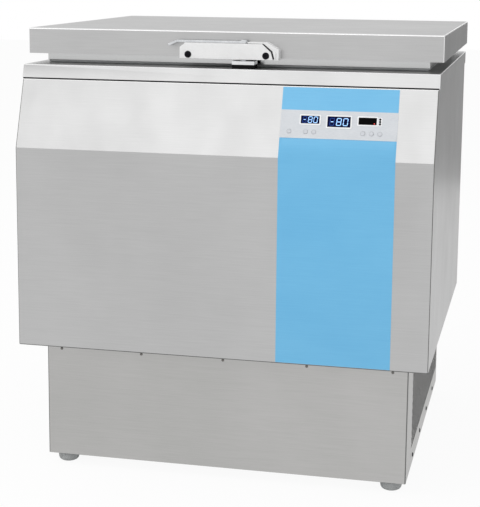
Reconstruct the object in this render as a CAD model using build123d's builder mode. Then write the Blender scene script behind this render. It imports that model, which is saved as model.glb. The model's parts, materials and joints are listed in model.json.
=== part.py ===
from build123d import *
import os
from math import atan2, cos, pi, sin, tan

os.makedirs("parts", exist_ok=True)

# Millimetres. X runs to the right as seen from the front, Y to the back, Z up from the floor.
# Distances called "behind" are measured back from the flat front face of the cover.

# Sheet metal
sheet = 1.2                     # stainless casing sheet
fold_radius = 2.4               # outside radius of a folded edge
corner_radius = 1.6             # outside radius of a narrow return
seam = 1.0                      # open joint between neighbouring sheets

# Cabinet and front cover
cabinet_width = 800.0
cabinet_depth = 756.0           # front face of the cover to the back panel
cover_front_height = 390.0      # underside of the cabinet to the bend
slope_rise = 130.0              # control face, height
slope_run = 45.5                # control face, how far it leans back
cover_return = 78.0             # side returns of the cover, behind its front face
front_wall_behind = 58.0        # front wall of the cabinet, behind the cover
front_wall_return = 42.0

# Rim, lid and step
rim_height = 26.0
rim_overhang = 1.5
rim_flange = 60.0               # width of the top flange, sides and back
rim_opening_behind = 145.0      # front edge of the mouth
lid_gap = 19.0                  # rim to underside of the lid
lid_overhang = 4.0
lid_front_behind = 89.5
lid_thickness = 49.5
lid_hem = 12.0                  # folded edge under the lid shell
lid_swing_clearance = 9.0       # plug to tank, all round
step_height = 14.0
step_inset = 27.5
step_corner = 5.0
liner_wall = 2.0
liner_flange = 2.0
plug_depth = 32.0
plug_corner = 22.0
plug_draft = 3.0
gasket_width = 20.0
gasket_inset = 2.0
gasket_clearance = 0.3

# Tank and insulation
insulation_side = 97.8
insulation_front = 92.0
insulation_back = 91.0
tank_depth = 430.0
tank_wall = 1.0
tank_corner = 25.0
tank_flange = 17.0
collar_thickness = 6.0
collar_overlap = 8.5
coil_turns = 4
coil_pitch = 90.0
coil_height = 10.0
coil_bevel = 14.0               # cut corners, clear of the rounded tank corners
coil_thickness = 8.0
coil_first_turn = 45.0          # above the tank floor
coil_tail_spacing = 60.0
coil_tail_drop = 14.0           # below the cabinet floor
probe_radius = 3.0
probe_length = 70.0
probe_height = 40.0             # above the first turn

# Base
foot_height = 22.0
foot_radius = 21.0
foot_tip_radius = 11.0
foot_stud_radius = 5.0
foot_stud_length = 16.0
foot_inset_x = 31.0             # foot axis from the side of the base
foot_inset_y = 32.0             # foot axis from the front and back of the base
base_height = 236.0
base_inset = 40.0               # side of the base in from the side of the cabinet
base_front_behind = 50.0
base_back_inset = 26.0
base_return = 80.0              # side returns of the base front panel
frame_thickness = 2.0
frame_flange = 25.0
post_width = 35.0

# Perforated side panels
hole_radius = 14.0
hole_pitch = 48.0
grille_margin = 14.0
grille_bottom = 38.0            # above the lower edge of the panel
grille_top = 12.0               # below the upper edge of the panel

# Screws
screw_radius = 2.0
screw_head_radius = 4.5
screw_head_height = 1.8
front_head_radius = 2.8         # flatter, smaller heads on the front panel
front_head_height = 1.2
screw_clearance = 0.2
front_screw_inset = 30.0        # outer screws in from the sides of the base
front_screw_count = 5
front_screw_drop = 17.0         # below the top of the base
side_screw_count = 4
side_screw_first = 125.0        # first screw behind the front of the base
side_screw_last = 111.0         # last screw before the back of the base
side_screw_height = 15.0        # above the lower edge of the panel

# Decor panel and controls
band_margin = 70.5              # right edge of the band in from the side of the cover
band_width = 216.0
band_thickness = 0.5
fascia_low = 39.0               # up the slope from the bend
fascia_high = 92.0
fascia_thickness = 0.6
window_margin_x = 8.0
window_margin_y = 5.0
module_depth = 30.0
module_wall = 2.0
module_clearance = 0.5
board_depth = 7.0
board_thickness = 1.6
bezel_width = 2.4
bezel_height = 0.8
display_height = 0.4            # proud of the fascia
key_radius = 4.0
key_clearance = 0.3
key_height = 0.8
key_travel = 0.5
lamp_radius = 1.7
key_row = 51.5                  # up the slope from the bend
key_offsets = (16.9, 47.8, 63.1, 153.5, 169.3, 184.7)     # from the left edge of the band
lamp_offset = 183.7
lamp_rows = (69.8, 74.2, 78.6)
# Each display: left and right edge from the left edge of the band, low and high edge on the slope
display_edges = ((37.8, 72.4, 66.8, 81.6), (87.2, 129.9, 61.7, 81.5), (144.5, 177.8, 67.8, 81.2))

# Latch on the front of the lid
latch_left = -92.5
latch_right = 89.5
latch_drop = 2.0                # below the lid
latch_height_left = 28.0
latch_height_right = 30.0
latch_chamfer = (8.7, 6.6)
latch_cheek = (22.5, 15.0)      # long chamfer at the right
latch_gap = 3.0
latch_rim = 6.0
latch_depth = 20.0
latch_base = 3.0
latch_plate = 2.5
latch_screw_left = -76.0
latch_screw_right = 74.5
latch_screw_height = 8.0        # above the lower edge of the latch
latch_screw_radius = 6.5
latch_boss_radius = 9.0
spindle_x = 30.0
spindle_behind_plate = 8.0
spindle_radius = 5.0
spindle_clearance = 0.05
spindle_head = 2.0
lug_thickness = 6.0
lug_radius = 9.0
lever_width = 15.0
lever_thickness = 4.2
lever_reach = 128.5             # spindle to where the finger tip bends down
lever_tip = (16.0, 7.5)         # tip, outward and down
lever_lift = 0.4                # lever above the cover plate
lever_end_clearance = 1.5       # round end of the lever to the rim
cam_radius = 13.0
cam_thickness = 1.5
cam_clearance = 0.4
striker_width = 43.5
striker_depth = 28.0
striker_behind = 72.0
striker_pad_height = 7.0
striker_height = 14.3
striker_lip = 3.0

# Hinges
hinge_spacing = 500.0
hinge_width = 90.0
hinge_middle = 38.0
hinge_side_clearance = 0.5
knuckle_radius = 8.0
pin_radius = 4.0
pin_clearance = 0.05
leaf_thickness = 3.0
leaf_drop = 74.0                # lower leaf below the rim
leaf_rise = 40.0                # upper leaf above the underside of the lid
leaf_screw_spacing = 60.0

# Machine compartment
grommet_height = 14.0
grommet_radius = 12.0
compressor_radius = 82.0
compressor_height = 178.0
compressor_dome = 34.0
weld_ridge = 3.0
compressor_plate = (190.0, 150.0, 3.0)
compressor_inset = 145.0        # axis from the left side of the base
compressor_front = 150.0        # first axis behind the front of the base
compressor_gap = 96.0           # between the two shells
stub_radius = 6.0
stub_length = 22.0
stub_offset = 30.0
stub_heights = (120.0, 75.0)    # above the foot of the shell
condenser_inset = 20.0          # from the right side of the base
condenser_depth = 48.0
condenser_front = 130.0         # behind the front of the base
condenser_back = 110.0          # before the back of the base
condenser_low = 23.0            # above the tray
condenser_high = 205.0
fin_count = 15
fin_thickness = 1.5
tube_rows = 4
tube_size = 10.0
fan_height = 114.0              # above the tray
fan_radius = 78.0
fan_hub_radius = 24.0
fan_tip_clearance = 6.0
fan_blades = 5
blade_chord = 52.0
blade_thickness = 2.4
blade_pitch = 28.0
duct_length = 38.0
duct_wall = 3.0
motor_radius = 34.0
motor_length = 48.0
motor_gap = 4.0
shaft_radius = 4.0
shaft_clearance = 0.05
arm_width = 9.0
arm_thickness = 4.0
exchanger_x = (-20.0, 60.0)
exchanger_front = 140.0         # behind the front of the base
exchanger_length = 70.0
exchanger_height = 200.0
port_inset = 18.0
drier_radius = 15.0
drier_length = 120.0
drier_x = 120.0                 # drier of the first stage
drier_front = 80.0              # behind the front of the base
second_drier_gap = 70.0         # behind the heat exchanger
box_left = 75.0
box_inset = 125.0               # from the right side of the base
box_length = 86.0
box_low = 40.0                  # above the tray
box_high = 200.0
pipe_radius = 4.0
pipe_run = 50.0

# Mains inlet and switch at the back
inlet_inset = 70.0               # from the right side of the base
inlet_height = 75.0             # above the tray
inlet_plate = (74.0, 34.0, 2.0)
inlet_body = (62.0, 26.0, 24.0)
inlet_socket = (26.0, 19.0, 16.0)
rocker_size = (20.0, 13.0)
rocker_depth = 9.0
rocker_clearance = 0.6
rocker_tilt = 8.0
rocker_peak = 2.0
louvre_count = 8
louvre_size = (110.0, 7.0)
louvre_pitch = 18.0
louvre_inset = 160.0            # first column from the left side of the base
louvre_spacing = 140.0

# Levels and outlines worked out from the sizes above
slope_angle = atan2(slope_run, slope_rise)
cabinet_low = foot_height + base_height
bend_height = cabinet_low + cover_front_height
cover_top = bend_height + slope_rise
rim_low = cover_top + seam
rim_top = rim_low + rim_height
rim_under = rim_top - sheet
lid_low = rim_top + lid_gap
lid_top = lid_low + lid_thickness
step_low = lid_low - step_height
half_width = cabinet_width / 2
inner_half = half_width - sheet
tank_half = inner_half - insulation_side - tank_wall
rim_behind = cabinet_depth + rim_overhang
hinge_behind = rim_behind + knuckle_radius
hinge_height = rim_top + lid_gap / 2
total_depth = hinge_behind + knuckle_radius + band_thickness
front = band_thickness - total_depth / 2
tray_low = foot_height
tray_top = tray_low + frame_thickness
base_half = half_width - base_inset
base_behind = cabinet_depth - base_back_inset
casing_inside = (front_wall_behind + sheet, cabinet_depth - sheet)
tank_behind = (casing_inside[0] + insulation_front + tank_wall, casing_inside[1] - insulation_back - tank_wall)
collar_low = rim_under - collar_thickness
tank_top = collar_low
tank_floor = tank_top - tank_depth
slope_plane = Plane(origin=(0, front, bend_height), x_dir=(1, 0, 0), z_dir=(0, -cos(slope_angle), sin(slope_angle)))


band_right = half_width - band_margin
band_left = band_right - band_width
key_places = [band_left + offset for offset in key_offsets]
lamp_place = band_left + lamp_offset
displays = [(band_left + left, band_left + right, low, high) for left, right, low, high in display_edges]
compressor_x = compressor_inset - base_half
compressor_first = base_front_behind + compressor_front
compressor_behind = (compressor_first, compressor_first + 2 * compressor_radius + compressor_gap)
condenser_x = (base_half - condenser_inset - condenser_depth, base_half - condenser_inset)
condenser_behind = (base_front_behind + condenser_front, base_behind - condenser_back)
fan_behind = sum(condenser_behind) / 2
exchanger_behind = (base_front_behind + exchanger_front, base_front_behind + exchanger_front + exchanger_length)
drier_behind = base_front_behind + drier_front
second_drier_behind = exchanger_behind[1] + second_drier_gap
box_x = (box_left, base_half - box_inset)
inlet_x = base_half - inlet_inset
louvre_places = (louvre_inset - base_half, louvre_inset + louvre_spacing - base_half)


def behind(distance):
    """Y of a point at a distance behind the front face of the cover."""
    return front + distance


def area(half, near, far):
    """A rectangle about the middle plane: half width, then how far behind it starts and ends."""
    return (half, behind(near), behind(far))


def shrink(outline, margin):
    """The same rectangle with every side moved in by a margin."""
    return (outline[0] - margin, outline[1] + margin, outline[2] - margin)


def slab(outline, low, high, corner=0.0, taper=0.0, mode=Mode.ADD, bevel=0.0):
    """A rectangular slab between two heights, with rounded or bevelled upright corners."""
    with BuildSketch(Plane.XY.offset(low)) as sketch:
        with Locations((0, (outline[1] + outline[2]) / 2)):
            Rectangle(2 * outline[0], outline[2] - outline[1])
        if corner > 0:
            fillet(sketch.vertices(), corner)
        if bevel > 0:
            chamfer(sketch.vertices(), bevel)
    extrude(sketch.sketch, amount=high - low, taper=taper, mode=mode)


def block(x, y, z, mode=Mode.ADD):
    """A block between pairs of low and high coordinates."""
    with BuildSketch(Plane.XY.offset(z[0])) as sketch:
        with Locations(((x[0] + x[1]) / 2, (y[0] + y[1]) / 2)):
            Rectangle(x[1] - x[0], y[1] - y[0])
    extrude(sketch.sketch, amount=z[1] - z[0], mode=mode)


def side_view(points, x_low, x_high, radius=0.0, rounded=0, mode=Mode.ADD):
    """A shape drawn from the side as Y and Z points, drawn out from x_low to x_high.

    The first rounded corners, counted from the front, get the radius."""
    with BuildSketch(Plane.YZ.offset(x_low)) as sketch:
        with BuildLine():
            Polyline(*points, close=True)
        make_face()
        if rounded:
            fillet(sketch.vertices().sort_by(Axis.X)[0:rounded], radius)
    extrude(sketch.sketch, amount=x_high - x_low, mode=mode)


def front_view(points, y_front, y_back, mode=Mode.ADD):
    """A shape drawn from the front as X and Z points, drawn out from y_front to y_back."""
    with BuildSketch(Plane.XZ.offset(-y_front)) as sketch:
        with BuildLine():
            Polyline(*points, close=True)
        make_face()
    extrude(sketch.sketch, amount=y_front - y_back, mode=mode)


def rod(plane, places, radius, length, mode=Mode.ADD):
    """Round rods, or holes, on a plane."""
    with BuildSketch(plane) as sketch:
        with Locations(*places):
            Circle(radius)
    extrude(sketch.sketch, amount=length, mode=mode)


def prism(plane, places, radius, length, sides, mode=Mode.ADD):
    """Straight prisms, or many-sided holes, on a plane; the radius is that of the circle through the corners."""
    with BuildSketch(plane) as sketch:
        with Locations(*places):
            RegularPolygon(radius, sides)
    extrude(sketch.sketch, amount=length, mode=mode)


def slope_block(left, right, low, high, bottom, top, mode=Mode.ADD):
    """A block on the slanted control face, between two distances from its outer surface."""
    with BuildSketch(slope_plane.offset(bottom)) as sketch:
        with Locations(((left + right) / 2, (low + high) / 2)):
            Rectangle(right - left, high - low)
    extrude(sketch.sketch, amount=top - bottom, mode=mode)


def cover_outline(inset, far, low, high):
    """Side view of the cover, drawn inside its outer face by an inset."""
    knee = bend_height - inset * tan(slope_angle / 2)
    crest = (high - bend_height) * tan(slope_angle) + inset / cos(slope_angle)
    return (
        (behind(inset), low),
        (behind(inset), knee),
        (behind(crest), high),
        (behind(far), high),
        (behind(far), low),
    )


# Places that several pieces share
foot_places = [
    (x, behind(y))
    for x in (-base_half + foot_inset_x, base_half - foot_inset_x)
    for y in (base_front_behind + foot_inset_y, base_behind - foot_inset_y)
]
front_screw_pitch = 2 * (base_half - front_screw_inset) / (front_screw_count - 1)
front_screws = [
    ((i - (front_screw_count - 1) / 2) * front_screw_pitch, cabinet_low - front_screw_drop)
    for i in range(front_screw_count)
]
side_screw_start = base_front_behind + side_screw_first
side_screw_pitch = (base_behind - side_screw_last - side_screw_start) / (side_screw_count - 1)
side_screws = [
    (behind(side_screw_start + i * side_screw_pitch), tray_low + side_screw_height)
    for i in range(side_screw_count)
]
front_screw_plane = Plane.XZ.offset(-behind(base_front_behind))
left_screw_plane = Plane.YZ.offset(-base_half)
right_screw_plane = Plane.YZ.offset(base_half)
screw_hole = screw_radius + screw_clearance
screw_grip = sheet + frame_thickness


# Base frame: welded tray with upright flanges, four corner posts and a top ring
with BuildPart() as base_frame:
    frame_outline = area(base_half - sheet, base_front_behind + sheet, base_behind - sheet)
    slab(frame_outline, tray_low, tray_low + frame_flange)
    slab(shrink(frame_outline, frame_thickness), tray_top, tray_low + frame_flange, mode=Mode.SUBTRACT)
    slab(frame_outline, tray_low + frame_flange, cabinet_low)
    slab(shrink(frame_outline, frame_thickness), tray_low + frame_flange, cabinet_low - frame_thickness,
         mode=Mode.SUBTRACT)
    slab(shrink(frame_outline, frame_flange), cabinet_low - frame_thickness, cabinet_low, mode=Mode.SUBTRACT)
    # The walls between the posts are open
    post_edge = frame_outline[0] - post_width
    block((-post_edge, post_edge), (frame_outline[1] - 1, frame_outline[2] + 1),
          (tray_low + frame_flange, cabinet_low - frame_flange), Mode.SUBTRACT)
    block((-frame_outline[0] - 1, frame_outline[0] + 1),
          (frame_outline[1] + post_width, frame_outline[2] - post_width),
          (tray_low + frame_flange, cabinet_low - frame_flange), Mode.SUBTRACT)
    prism(Plane.XY.offset(tray_low), foot_places, foot_stud_radius + screw_clearance, frame_thickness, 8,
          Mode.SUBTRACT)
    prism(front_screw_plane, front_screws, screw_hole, -2 * screw_grip, 6, Mode.SUBTRACT)
    prism(left_screw_plane, side_screws, screw_hole, 2 * screw_grip, 6, Mode.SUBTRACT)
    prism(right_screw_plane, side_screws, screw_hole, -2 * screw_grip, 6, Mode.SUBTRACT)
base_frame.part.label = "base_frame"
export_step(base_frame.part, "parts/base_frame.step")

# Feet: moulded pads on threaded studs
with BuildPart() as feet:
    for x, y in foot_places:
        with BuildSketch(Plane(origin=(x, y, 0), x_dir=(1, 0, 0), z_dir=(0, -1, 0))) as foot_section:
            Polygon(
                (0, 0),
                (foot_tip_radius, 0),
                (foot_tip_radius + 0.6 * (foot_radius - foot_tip_radius), foot_height * 0.14),
                (foot_radius, foot_height * 0.5),
                (foot_radius, foot_height),
                (0, foot_height),
                align=None,
            )
        revolve(foot_section.sketch, axis=Axis((x, y, 0), (0, 0, 1)))
    prism(Plane.XY.offset(foot_height), foot_places, foot_stud_radius, foot_stud_length, 8)
feet.part.label = "feet"
export_step(feet.part, "parts/feet.step")

# Base front panel with side returns
with BuildPart() as base_front_panel:
    slab(area(base_half, base_front_behind, base_front_behind + base_return), tray_low, cabinet_low)
    fillet(base_front_panel.edges().filter_by(Axis.Z).group_by(Axis.Y)[0], fold_radius)
    slab(area(base_half - sheet, base_front_behind + sheet, base_front_behind + base_return),
         tray_low, cabinet_low, mode=Mode.SUBTRACT)
    prism(front_screw_plane, front_screws, screw_hole, -screw_grip, 6, Mode.SUBTRACT)
base_front_panel.part.label = "base_front_panel"
export_step(base_front_panel.part, "parts/base_front_panel.step")

# Perforated side panels, staggered rows of holes above a plain margin with the screws
panel_near = behind(base_front_behind + base_return + seam)
panel_far = behind(base_behind)
hole_low = tray_low + grille_bottom + hole_radius
hole_high = cabinet_low - grille_top - hole_radius
row_pitch = hole_pitch * sin(pi / 3)
hole_rows = int((hole_high - hole_low) / row_pitch) + 1
hole_near = panel_near + grille_margin + hole_radius
hole_far = panel_far - grille_margin - hole_radius
hole_columns = int((hole_far - hole_near) / hole_pitch) + 1
hole_places = [
    (hole_near + (column + 0.5 * (row % 2)) * hole_pitch, hole_low + row * row_pitch)
    for row in range(hole_rows)
    for column in range(hole_columns - row % 2)
]
for side, x_outer, screw_plane in (("left", -base_half, left_screw_plane), ("right", base_half, right_screw_plane)):
    inward = sheet if x_outer < 0 else -sheet
    with BuildPart() as grille_panel:
        block(sorted((x_outer, x_outer + inward)), (panel_near, panel_far), (tray_low, cabinet_low))
        with BuildSketch(screw_plane) as perforation:
            with Locations(*hole_places):
                RegularPolygon(hole_radius, 6)
            with Locations(*side_screws):
                RegularPolygon(screw_hole, 6)
        extrude(perforation.sketch, amount=inward, mode=Mode.SUBTRACT)
    grille_panel.part.label = f"grille_panel_{side}"
    export_step(grille_panel.part, f"parts/grille_panel_{side}.step")

# Base rear panel with vent slots and the cut-out for the mains inlet
inlet_z = tray_top + inlet_height
back_plane = Plane(origin=(0, behind(base_behind), 0), x_dir=(-1, 0, 0), z_dir=(0, 1, 0))
with BuildPart() as base_rear_panel:
    slab(area(base_half - sheet, base_behind - sheet, base_behind), tray_low, cabinet_low)
    louvre_middle = (tray_low + cabinet_low) / 2
    with BuildSketch(back_plane) as slots:
        for x in louvre_places:
            with Locations((-x, louvre_middle)):
                with GridLocations(louvre_size[0], louvre_pitch, 1, louvre_count):
                    Rectangle(*louvre_size)
        with Locations((-inlet_x, inlet_z)):
            Rectangle(inlet_body[0], inlet_body[1])
    extrude(slots.sketch, amount=-sheet, mode=Mode.SUBTRACT)
base_rear_panel.part.label = "base_rear_panel"
export_step(base_rear_panel.part, "parts/base_rear_panel.step")


def screw(plane, places, head_radius=screw_head_radius, head_height=screw_head_height):
    """Screw heads on a plane, each with its shank through the sheet behind it."""
    prism(plane, places, screw_radius, -screw_grip, 6)
    prism(plane, places, head_radius, head_height, 12)


with BuildPart() as base_screws:
    screw(front_screw_plane, front_screws, front_head_radius, front_head_height)
    screw(right_screw_plane, side_screws)
    screw(Plane(origin=(-base_half, 0, 0), x_dir=(0, -1, 0), z_dir=(-1, 0, 0)), [(-y, z) for y, z in side_screws])
base_screws.part.label = "base_screws"
export_step(base_screws.part, "parts/base_screws.step")

# Evaporator coil: flat tube wound on the tank, with a header at the back and two tails to the machine
tank_outer = area(tank_half + tank_wall, tank_behind[0] - tank_wall, tank_behind[1] + tank_wall)
coil_outer = shrink(tank_outer, -coil_thickness)
coil_low = tank_floor + coil_first_turn
with BuildPart() as evaporator_coil:
    for turn in range(coil_turns):
        turn_low = coil_low + turn * coil_pitch
        slab(coil_outer, turn_low, turn_low + coil_height, bevel=coil_bevel)
    slab(tank_outer, coil_low, coil_low + coil_turns * coil_pitch, bevel=coil_bevel, mode=Mode.SUBTRACT)
    header_top = coil_low + (coil_turns - 1) * coil_pitch + coil_height
    for x in (-coil_tail_spacing / 2, coil_tail_spacing / 2):
        tail_top = header_top if x < 0 else coil_low + coil_height
        block((x - coil_height / 2, x + coil_height / 2), (tank_outer[2], coil_outer[2]),
              (cabinet_low - coil_tail_drop, tail_top))
evaporator_coil.part.label = "evaporator_coil"
export_step(evaporator_coil.part, "parts/evaporator_coil.step")

# Cabinet floor
with BuildPart() as cabinet_floor:
    slab(area(inner_half - sheet, *casing_inside), cabinet_low, cabinet_low + sheet)
    block((-coil_tail_spacing, coil_tail_spacing), (tank_outer[2] - coil_height, coil_outer[2] + coil_height),
          (cabinet_low, cabinet_low + sheet), Mode.SUBTRACT)
cabinet_floor.part.label = "cabinet_floor"
export_step(cabinet_floor.part, "parts/cabinet_floor.step")

# Cabinet side panels, back panel and front wall
for side, x_outer in (("left", -half_width), ("right", half_width)):
    x_inner = x_outer + (sheet if x_outer < 0 else -sheet)
    with BuildPart() as cabinet_side:
        block(sorted((x_outer, x_inner)), (behind(cover_return + seam), behind(cabinet_depth)),
              (cabinet_low, rim_under))
    cabinet_side.part.label = f"cabinet_side_{side}"
    export_step(cabinet_side.part, f"parts/cabinet_side_{side}.step")

with BuildPart() as cabinet_back:
    slab(area(inner_half, cabinet_depth - sheet, cabinet_depth), cabinet_low, rim_under)
cabinet_back.part.label = "cabinet_back"
export_step(cabinet_back.part, "parts/cabinet_back.step")

with BuildPart() as cabinet_front_wall:
    slab(area(inner_half, front_wall_behind, front_wall_behind + front_wall_return), cabinet_low, rim_under)
    slab(area(inner_half - sheet, front_wall_behind + sheet, front_wall_behind + front_wall_return),
         cabinet_low, rim_under, mode=Mode.SUBTRACT)
cabinet_front_wall.part.label = "cabinet_front_wall"
export_step(cabinet_front_wall.part, "parts/cabinet_front_wall.step")

# Front cover: folded sheet with a slanted control face, side returns and two flanges
window = (
    band_left + window_margin_x,
    band_left + band_width - window_margin_x,
    fascia_low + window_margin_y,
    fascia_high - window_margin_y,
)
with BuildPart() as front_cover:
    side_view(cover_outline(0, cover_return, cabinet_low, cover_top), -half_width, half_width, fold_radius, 3)
    side_edges = front_cover.edges().filter_by(
        lambda edge: abs(abs(edge.center().X) - half_width) < 0.01 and edge.center().Y < behind(front_wall_behind - 5)
    )
    fillet(side_edges.filter_by(GeomType.LINE).filter_by(lambda edge: edge.center().Z > cabinet_low + 50)
           .filter_by(lambda edge: edge.center().Z < cover_top - 5), corner_radius)
    side_view(cover_outline(sheet, cover_return, cabinet_low + sheet, cover_top - sheet), -inner_half, inner_half,
              fold_radius - sheet, 3, Mode.SUBTRACT)
    for low in (cabinet_low, cover_top - sheet):
        slab(area(inner_half, front_wall_behind, cover_return), low, low + sheet, mode=Mode.SUBTRACT)
    slope_block(*window, -2 * sheet, sheet, Mode.SUBTRACT)
front_cover.part.label = "front_cover"
export_step(front_cover.part, "parts/front_cover.step")

# Decor panel: thin sheet bonded to the cover from top to bottom
with BuildPart() as decor_panel:
    side_view(cover_outline(-band_thickness, front_wall_behind, cabinet_low + fold_radius, cover_top - fold_radius),
              band_left, band_right)
    side_view(cover_outline(0, front_wall_behind, cabinet_low, cover_top), band_left, band_right,
              mode=Mode.SUBTRACT)
    slope_block(*window, -sheet, sheet, Mode.SUBTRACT)
decor_panel.part.label = "decor_panel"
export_step(decor_panel.part, "parts/decor_panel.step")

# Control fascia with openings for displays, keys and lamps
fascia_front = band_thickness + fascia_thickness
with BuildPart() as control_fascia:
    slope_block(band_left, band_right, fascia_low, fascia_high, band_thickness, fascia_front)
    with BuildSketch(slope_plane.offset(band_thickness)) as openings:
        for left, right, low, high in displays:
            with Locations(((left + right) / 2, (low + high) / 2)):
                Rectangle(right - left, high - low)
        with Locations(*[(x, key_row) for x in key_places]):
            Circle(key_radius + key_clearance)
        with Locations(*[(lamp_place, row) for row in lamp_rows]):
            RegularPolygon(lamp_radius, 8)
    extrude(openings.sketch, amount=fascia_thickness, mode=Mode.SUBTRACT)
control_fascia.part.label = "control_fascia"
export_step(control_fascia.part, "parts/control_fascia.step")

# Control module: open tray behind the fascia, with the board that carries displays and lamps
module = (window[0] + module_clearance, window[1] - module_clearance,
          window[2] + module_clearance, window[3] - module_clearance)
with BuildPart() as control_module:
    slope_block(*module, band_thickness - module_depth, band_thickness)
    slope_block(module[0] + module_wall, module[1] - module_wall, module[2] + module_wall, module[3] - module_wall,
                band_thickness - module_depth + module_wall, band_thickness, Mode.SUBTRACT)
control_module.part.label = "control_module"
export_step(control_module.part, "parts/control_module.step")

with BuildPart() as control_board:
    slope_block(module[0] + module_wall, module[1] - module_wall, module[2] + module_wall, module[3] - module_wall,
                -board_depth - board_thickness, -board_depth)
control_board.part.label = "control_board"
export_step(control_board.part, "parts/control_board.step")

with BuildPart() as display_windows:
    for display in displays:
        slope_block(*display, -board_depth, fascia_front + display_height)
display_windows.part.label = "display_windows"
export_step(display_windows.part, "parts/display_windows.step")

with BuildPart() as display_bezels:
    for left, right, low, high in displays:
        slope_block(left - bezel_width, right + bezel_width, low - bezel_width, high + bezel_width,
                    fascia_front, fascia_front + bezel_height)
        slope_block(left, right, low, high, fascia_front, fascia_front + bezel_height, Mode.SUBTRACT)
display_bezels.part.label = "display_bezels"
export_step(display_bezels.part, "parts/display_bezels.step")

with BuildPart() as indicator_lamps:
    prism(slope_plane.offset(-board_depth), [(lamp_place, row) for row in lamp_rows], lamp_radius,
          board_depth + fascia_front + display_height, 8)
indicator_lamps.part.label = "indicator_lamps"
export_step(indicator_lamps.part, "parts/indicator_lamps.step")

# Six keys, each free to sink by its travel before it meets the board
key_bottom = -board_depth + key_travel + key_clearance
for number, x in enumerate(key_places, start=1):
    with BuildPart() as key:
        rod(slope_plane.offset(key_bottom), [(x, key_row)], key_radius, fascia_front + key_height - key_bottom)
        chamfer(key.faces().sort_by(Axis((0, 0, 0), slope_plane.z_dir))[-1].edges(), key_height * 0.5)
    key.part.label = f"key_{number}"
    export_step(key.part, f"parts/key_{number}.step")

# Inner tank: drawn stainless box with an outward flange
with BuildPart() as inner_tank:
    slab(shrink(tank_outer, -tank_flange), tank_top - tank_wall, tank_top, tank_corner + tank_flange)
    slab(tank_outer, tank_floor - tank_wall, tank_top, tank_corner + tank_wall)
    slab(shrink(tank_outer, tank_wall), tank_floor, tank_top, tank_corner, mode=Mode.SUBTRACT)
inner_tank.part.label = "inner_tank"
export_step(inner_tank.part, "parts/inner_tank.step")

# Temperature probe, clamped to the front of the tank above the first turn
probe_z = coil_low + probe_height
with BuildPart() as temperature_probe:
    block((-probe_length / 2, probe_length / 2), (tank_outer[1] - 2 * probe_radius, tank_outer[1]),
          (probe_z - probe_radius, probe_z + probe_radius))
temperature_probe.part.label = "temperature_probe"
export_step(temperature_probe.part, "parts/temperature_probe.step")

# Breaker collar between the rim and the tank
mouth = area(half_width + rim_overhang - rim_flange, rim_opening_behind, rim_behind - rim_flange)
collar_outer = shrink(mouth, -collar_overlap)
with BuildPart() as breaker_collar:
    slab(collar_outer, collar_low, rim_under)
    slab(shrink(tank_outer, tank_wall), collar_low, rim_under, tank_corner, mode=Mode.SUBTRACT)
breaker_collar.part.label = "breaker_collar"
export_step(breaker_collar.part, "parts/breaker_collar.step")

# Rim frame: its front skirt continues the slope of the cover
rim_edge = half_width + rim_overhang
rim_crest = (rim_top - bend_height) * tan(slope_angle)
rim_foot = (rim_low - bend_height) * tan(slope_angle)
skin = sheet / cos(slope_angle)
with BuildPart() as rim_frame:
    side_view(((behind(rim_foot), rim_low), (behind(rim_crest), rim_top), (behind(rim_behind), rim_top),
               (behind(rim_behind), rim_low)), -rim_edge, rim_edge)
    fillet(rim_frame.faces().sort_by(Axis.Z)[-1].edges(), corner_radius)
    side_view(((behind(rim_foot + skin), rim_low), (behind(rim_crest + skin - sheet * tan(slope_angle)), rim_under),
               (behind(rim_behind - sheet), rim_under), (behind(rim_behind - sheet), rim_low)),
              -rim_edge + sheet, rim_edge - sheet, mode=Mode.SUBTRACT)
    slab(mouth, rim_under, rim_top, mode=Mode.SUBTRACT)
rim_frame.part.label = "rim_frame"
export_step(rim_frame.part, "parts/rim_frame.step")

# Insulation foam: fills the casing around tank, coil, probe and collar
with BuildPart() as cabinet_foam:
    slab(area(inner_half, *casing_inside), cabinet_low + sheet, rim_under)
    for x in ((-inner_half, -inner_half + sheet), (inner_half - sheet, inner_half)):
        block(x, (behind(casing_inside[0]), behind(front_wall_behind + front_wall_return)),
              (cabinet_low + sheet, rim_under), Mode.SUBTRACT)
    slab(collar_outer, collar_low, rim_under, mode=Mode.SUBTRACT)
    slab(shrink(tank_outer, -tank_flange), tank_top - tank_wall, tank_top, tank_corner + tank_flange,
         mode=Mode.SUBTRACT)
    slab(tank_outer, tank_floor - tank_wall, tank_top, tank_corner + tank_wall, mode=Mode.SUBTRACT)
    add(evaporator_coil.part, mode=Mode.SUBTRACT)
    add(temperature_probe.part, mode=Mode.SUBTRACT)
cabinet_foam.part.label = "cabinet_foam"
export_step(cabinet_foam.part, "parts/cabinet_foam.step")

# Lid shell: folded cover with a hem underneath
lid_outline = area(half_width + lid_overhang, lid_front_behind, rim_behind)
with BuildPart() as lid_shell:
    slab(lid_outline, lid_low, lid_top)
    fillet(lid_shell.edges().filter_by(Axis.Z), corner_radius)
    fillet(lid_shell.faces().sort_by(Axis.Z)[-1].edges(), fold_radius)
    slab(shrink(lid_outline, sheet), lid_low + sheet, lid_top - sheet, mode=Mode.SUBTRACT)
    slab(shrink(lid_outline, sheet + lid_hem), lid_low, lid_low + sheet, mode=Mode.SUBTRACT)
lid_shell.part.label = "lid_shell"
export_step(lid_shell.part, "parts/lid_shell.step")

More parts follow.
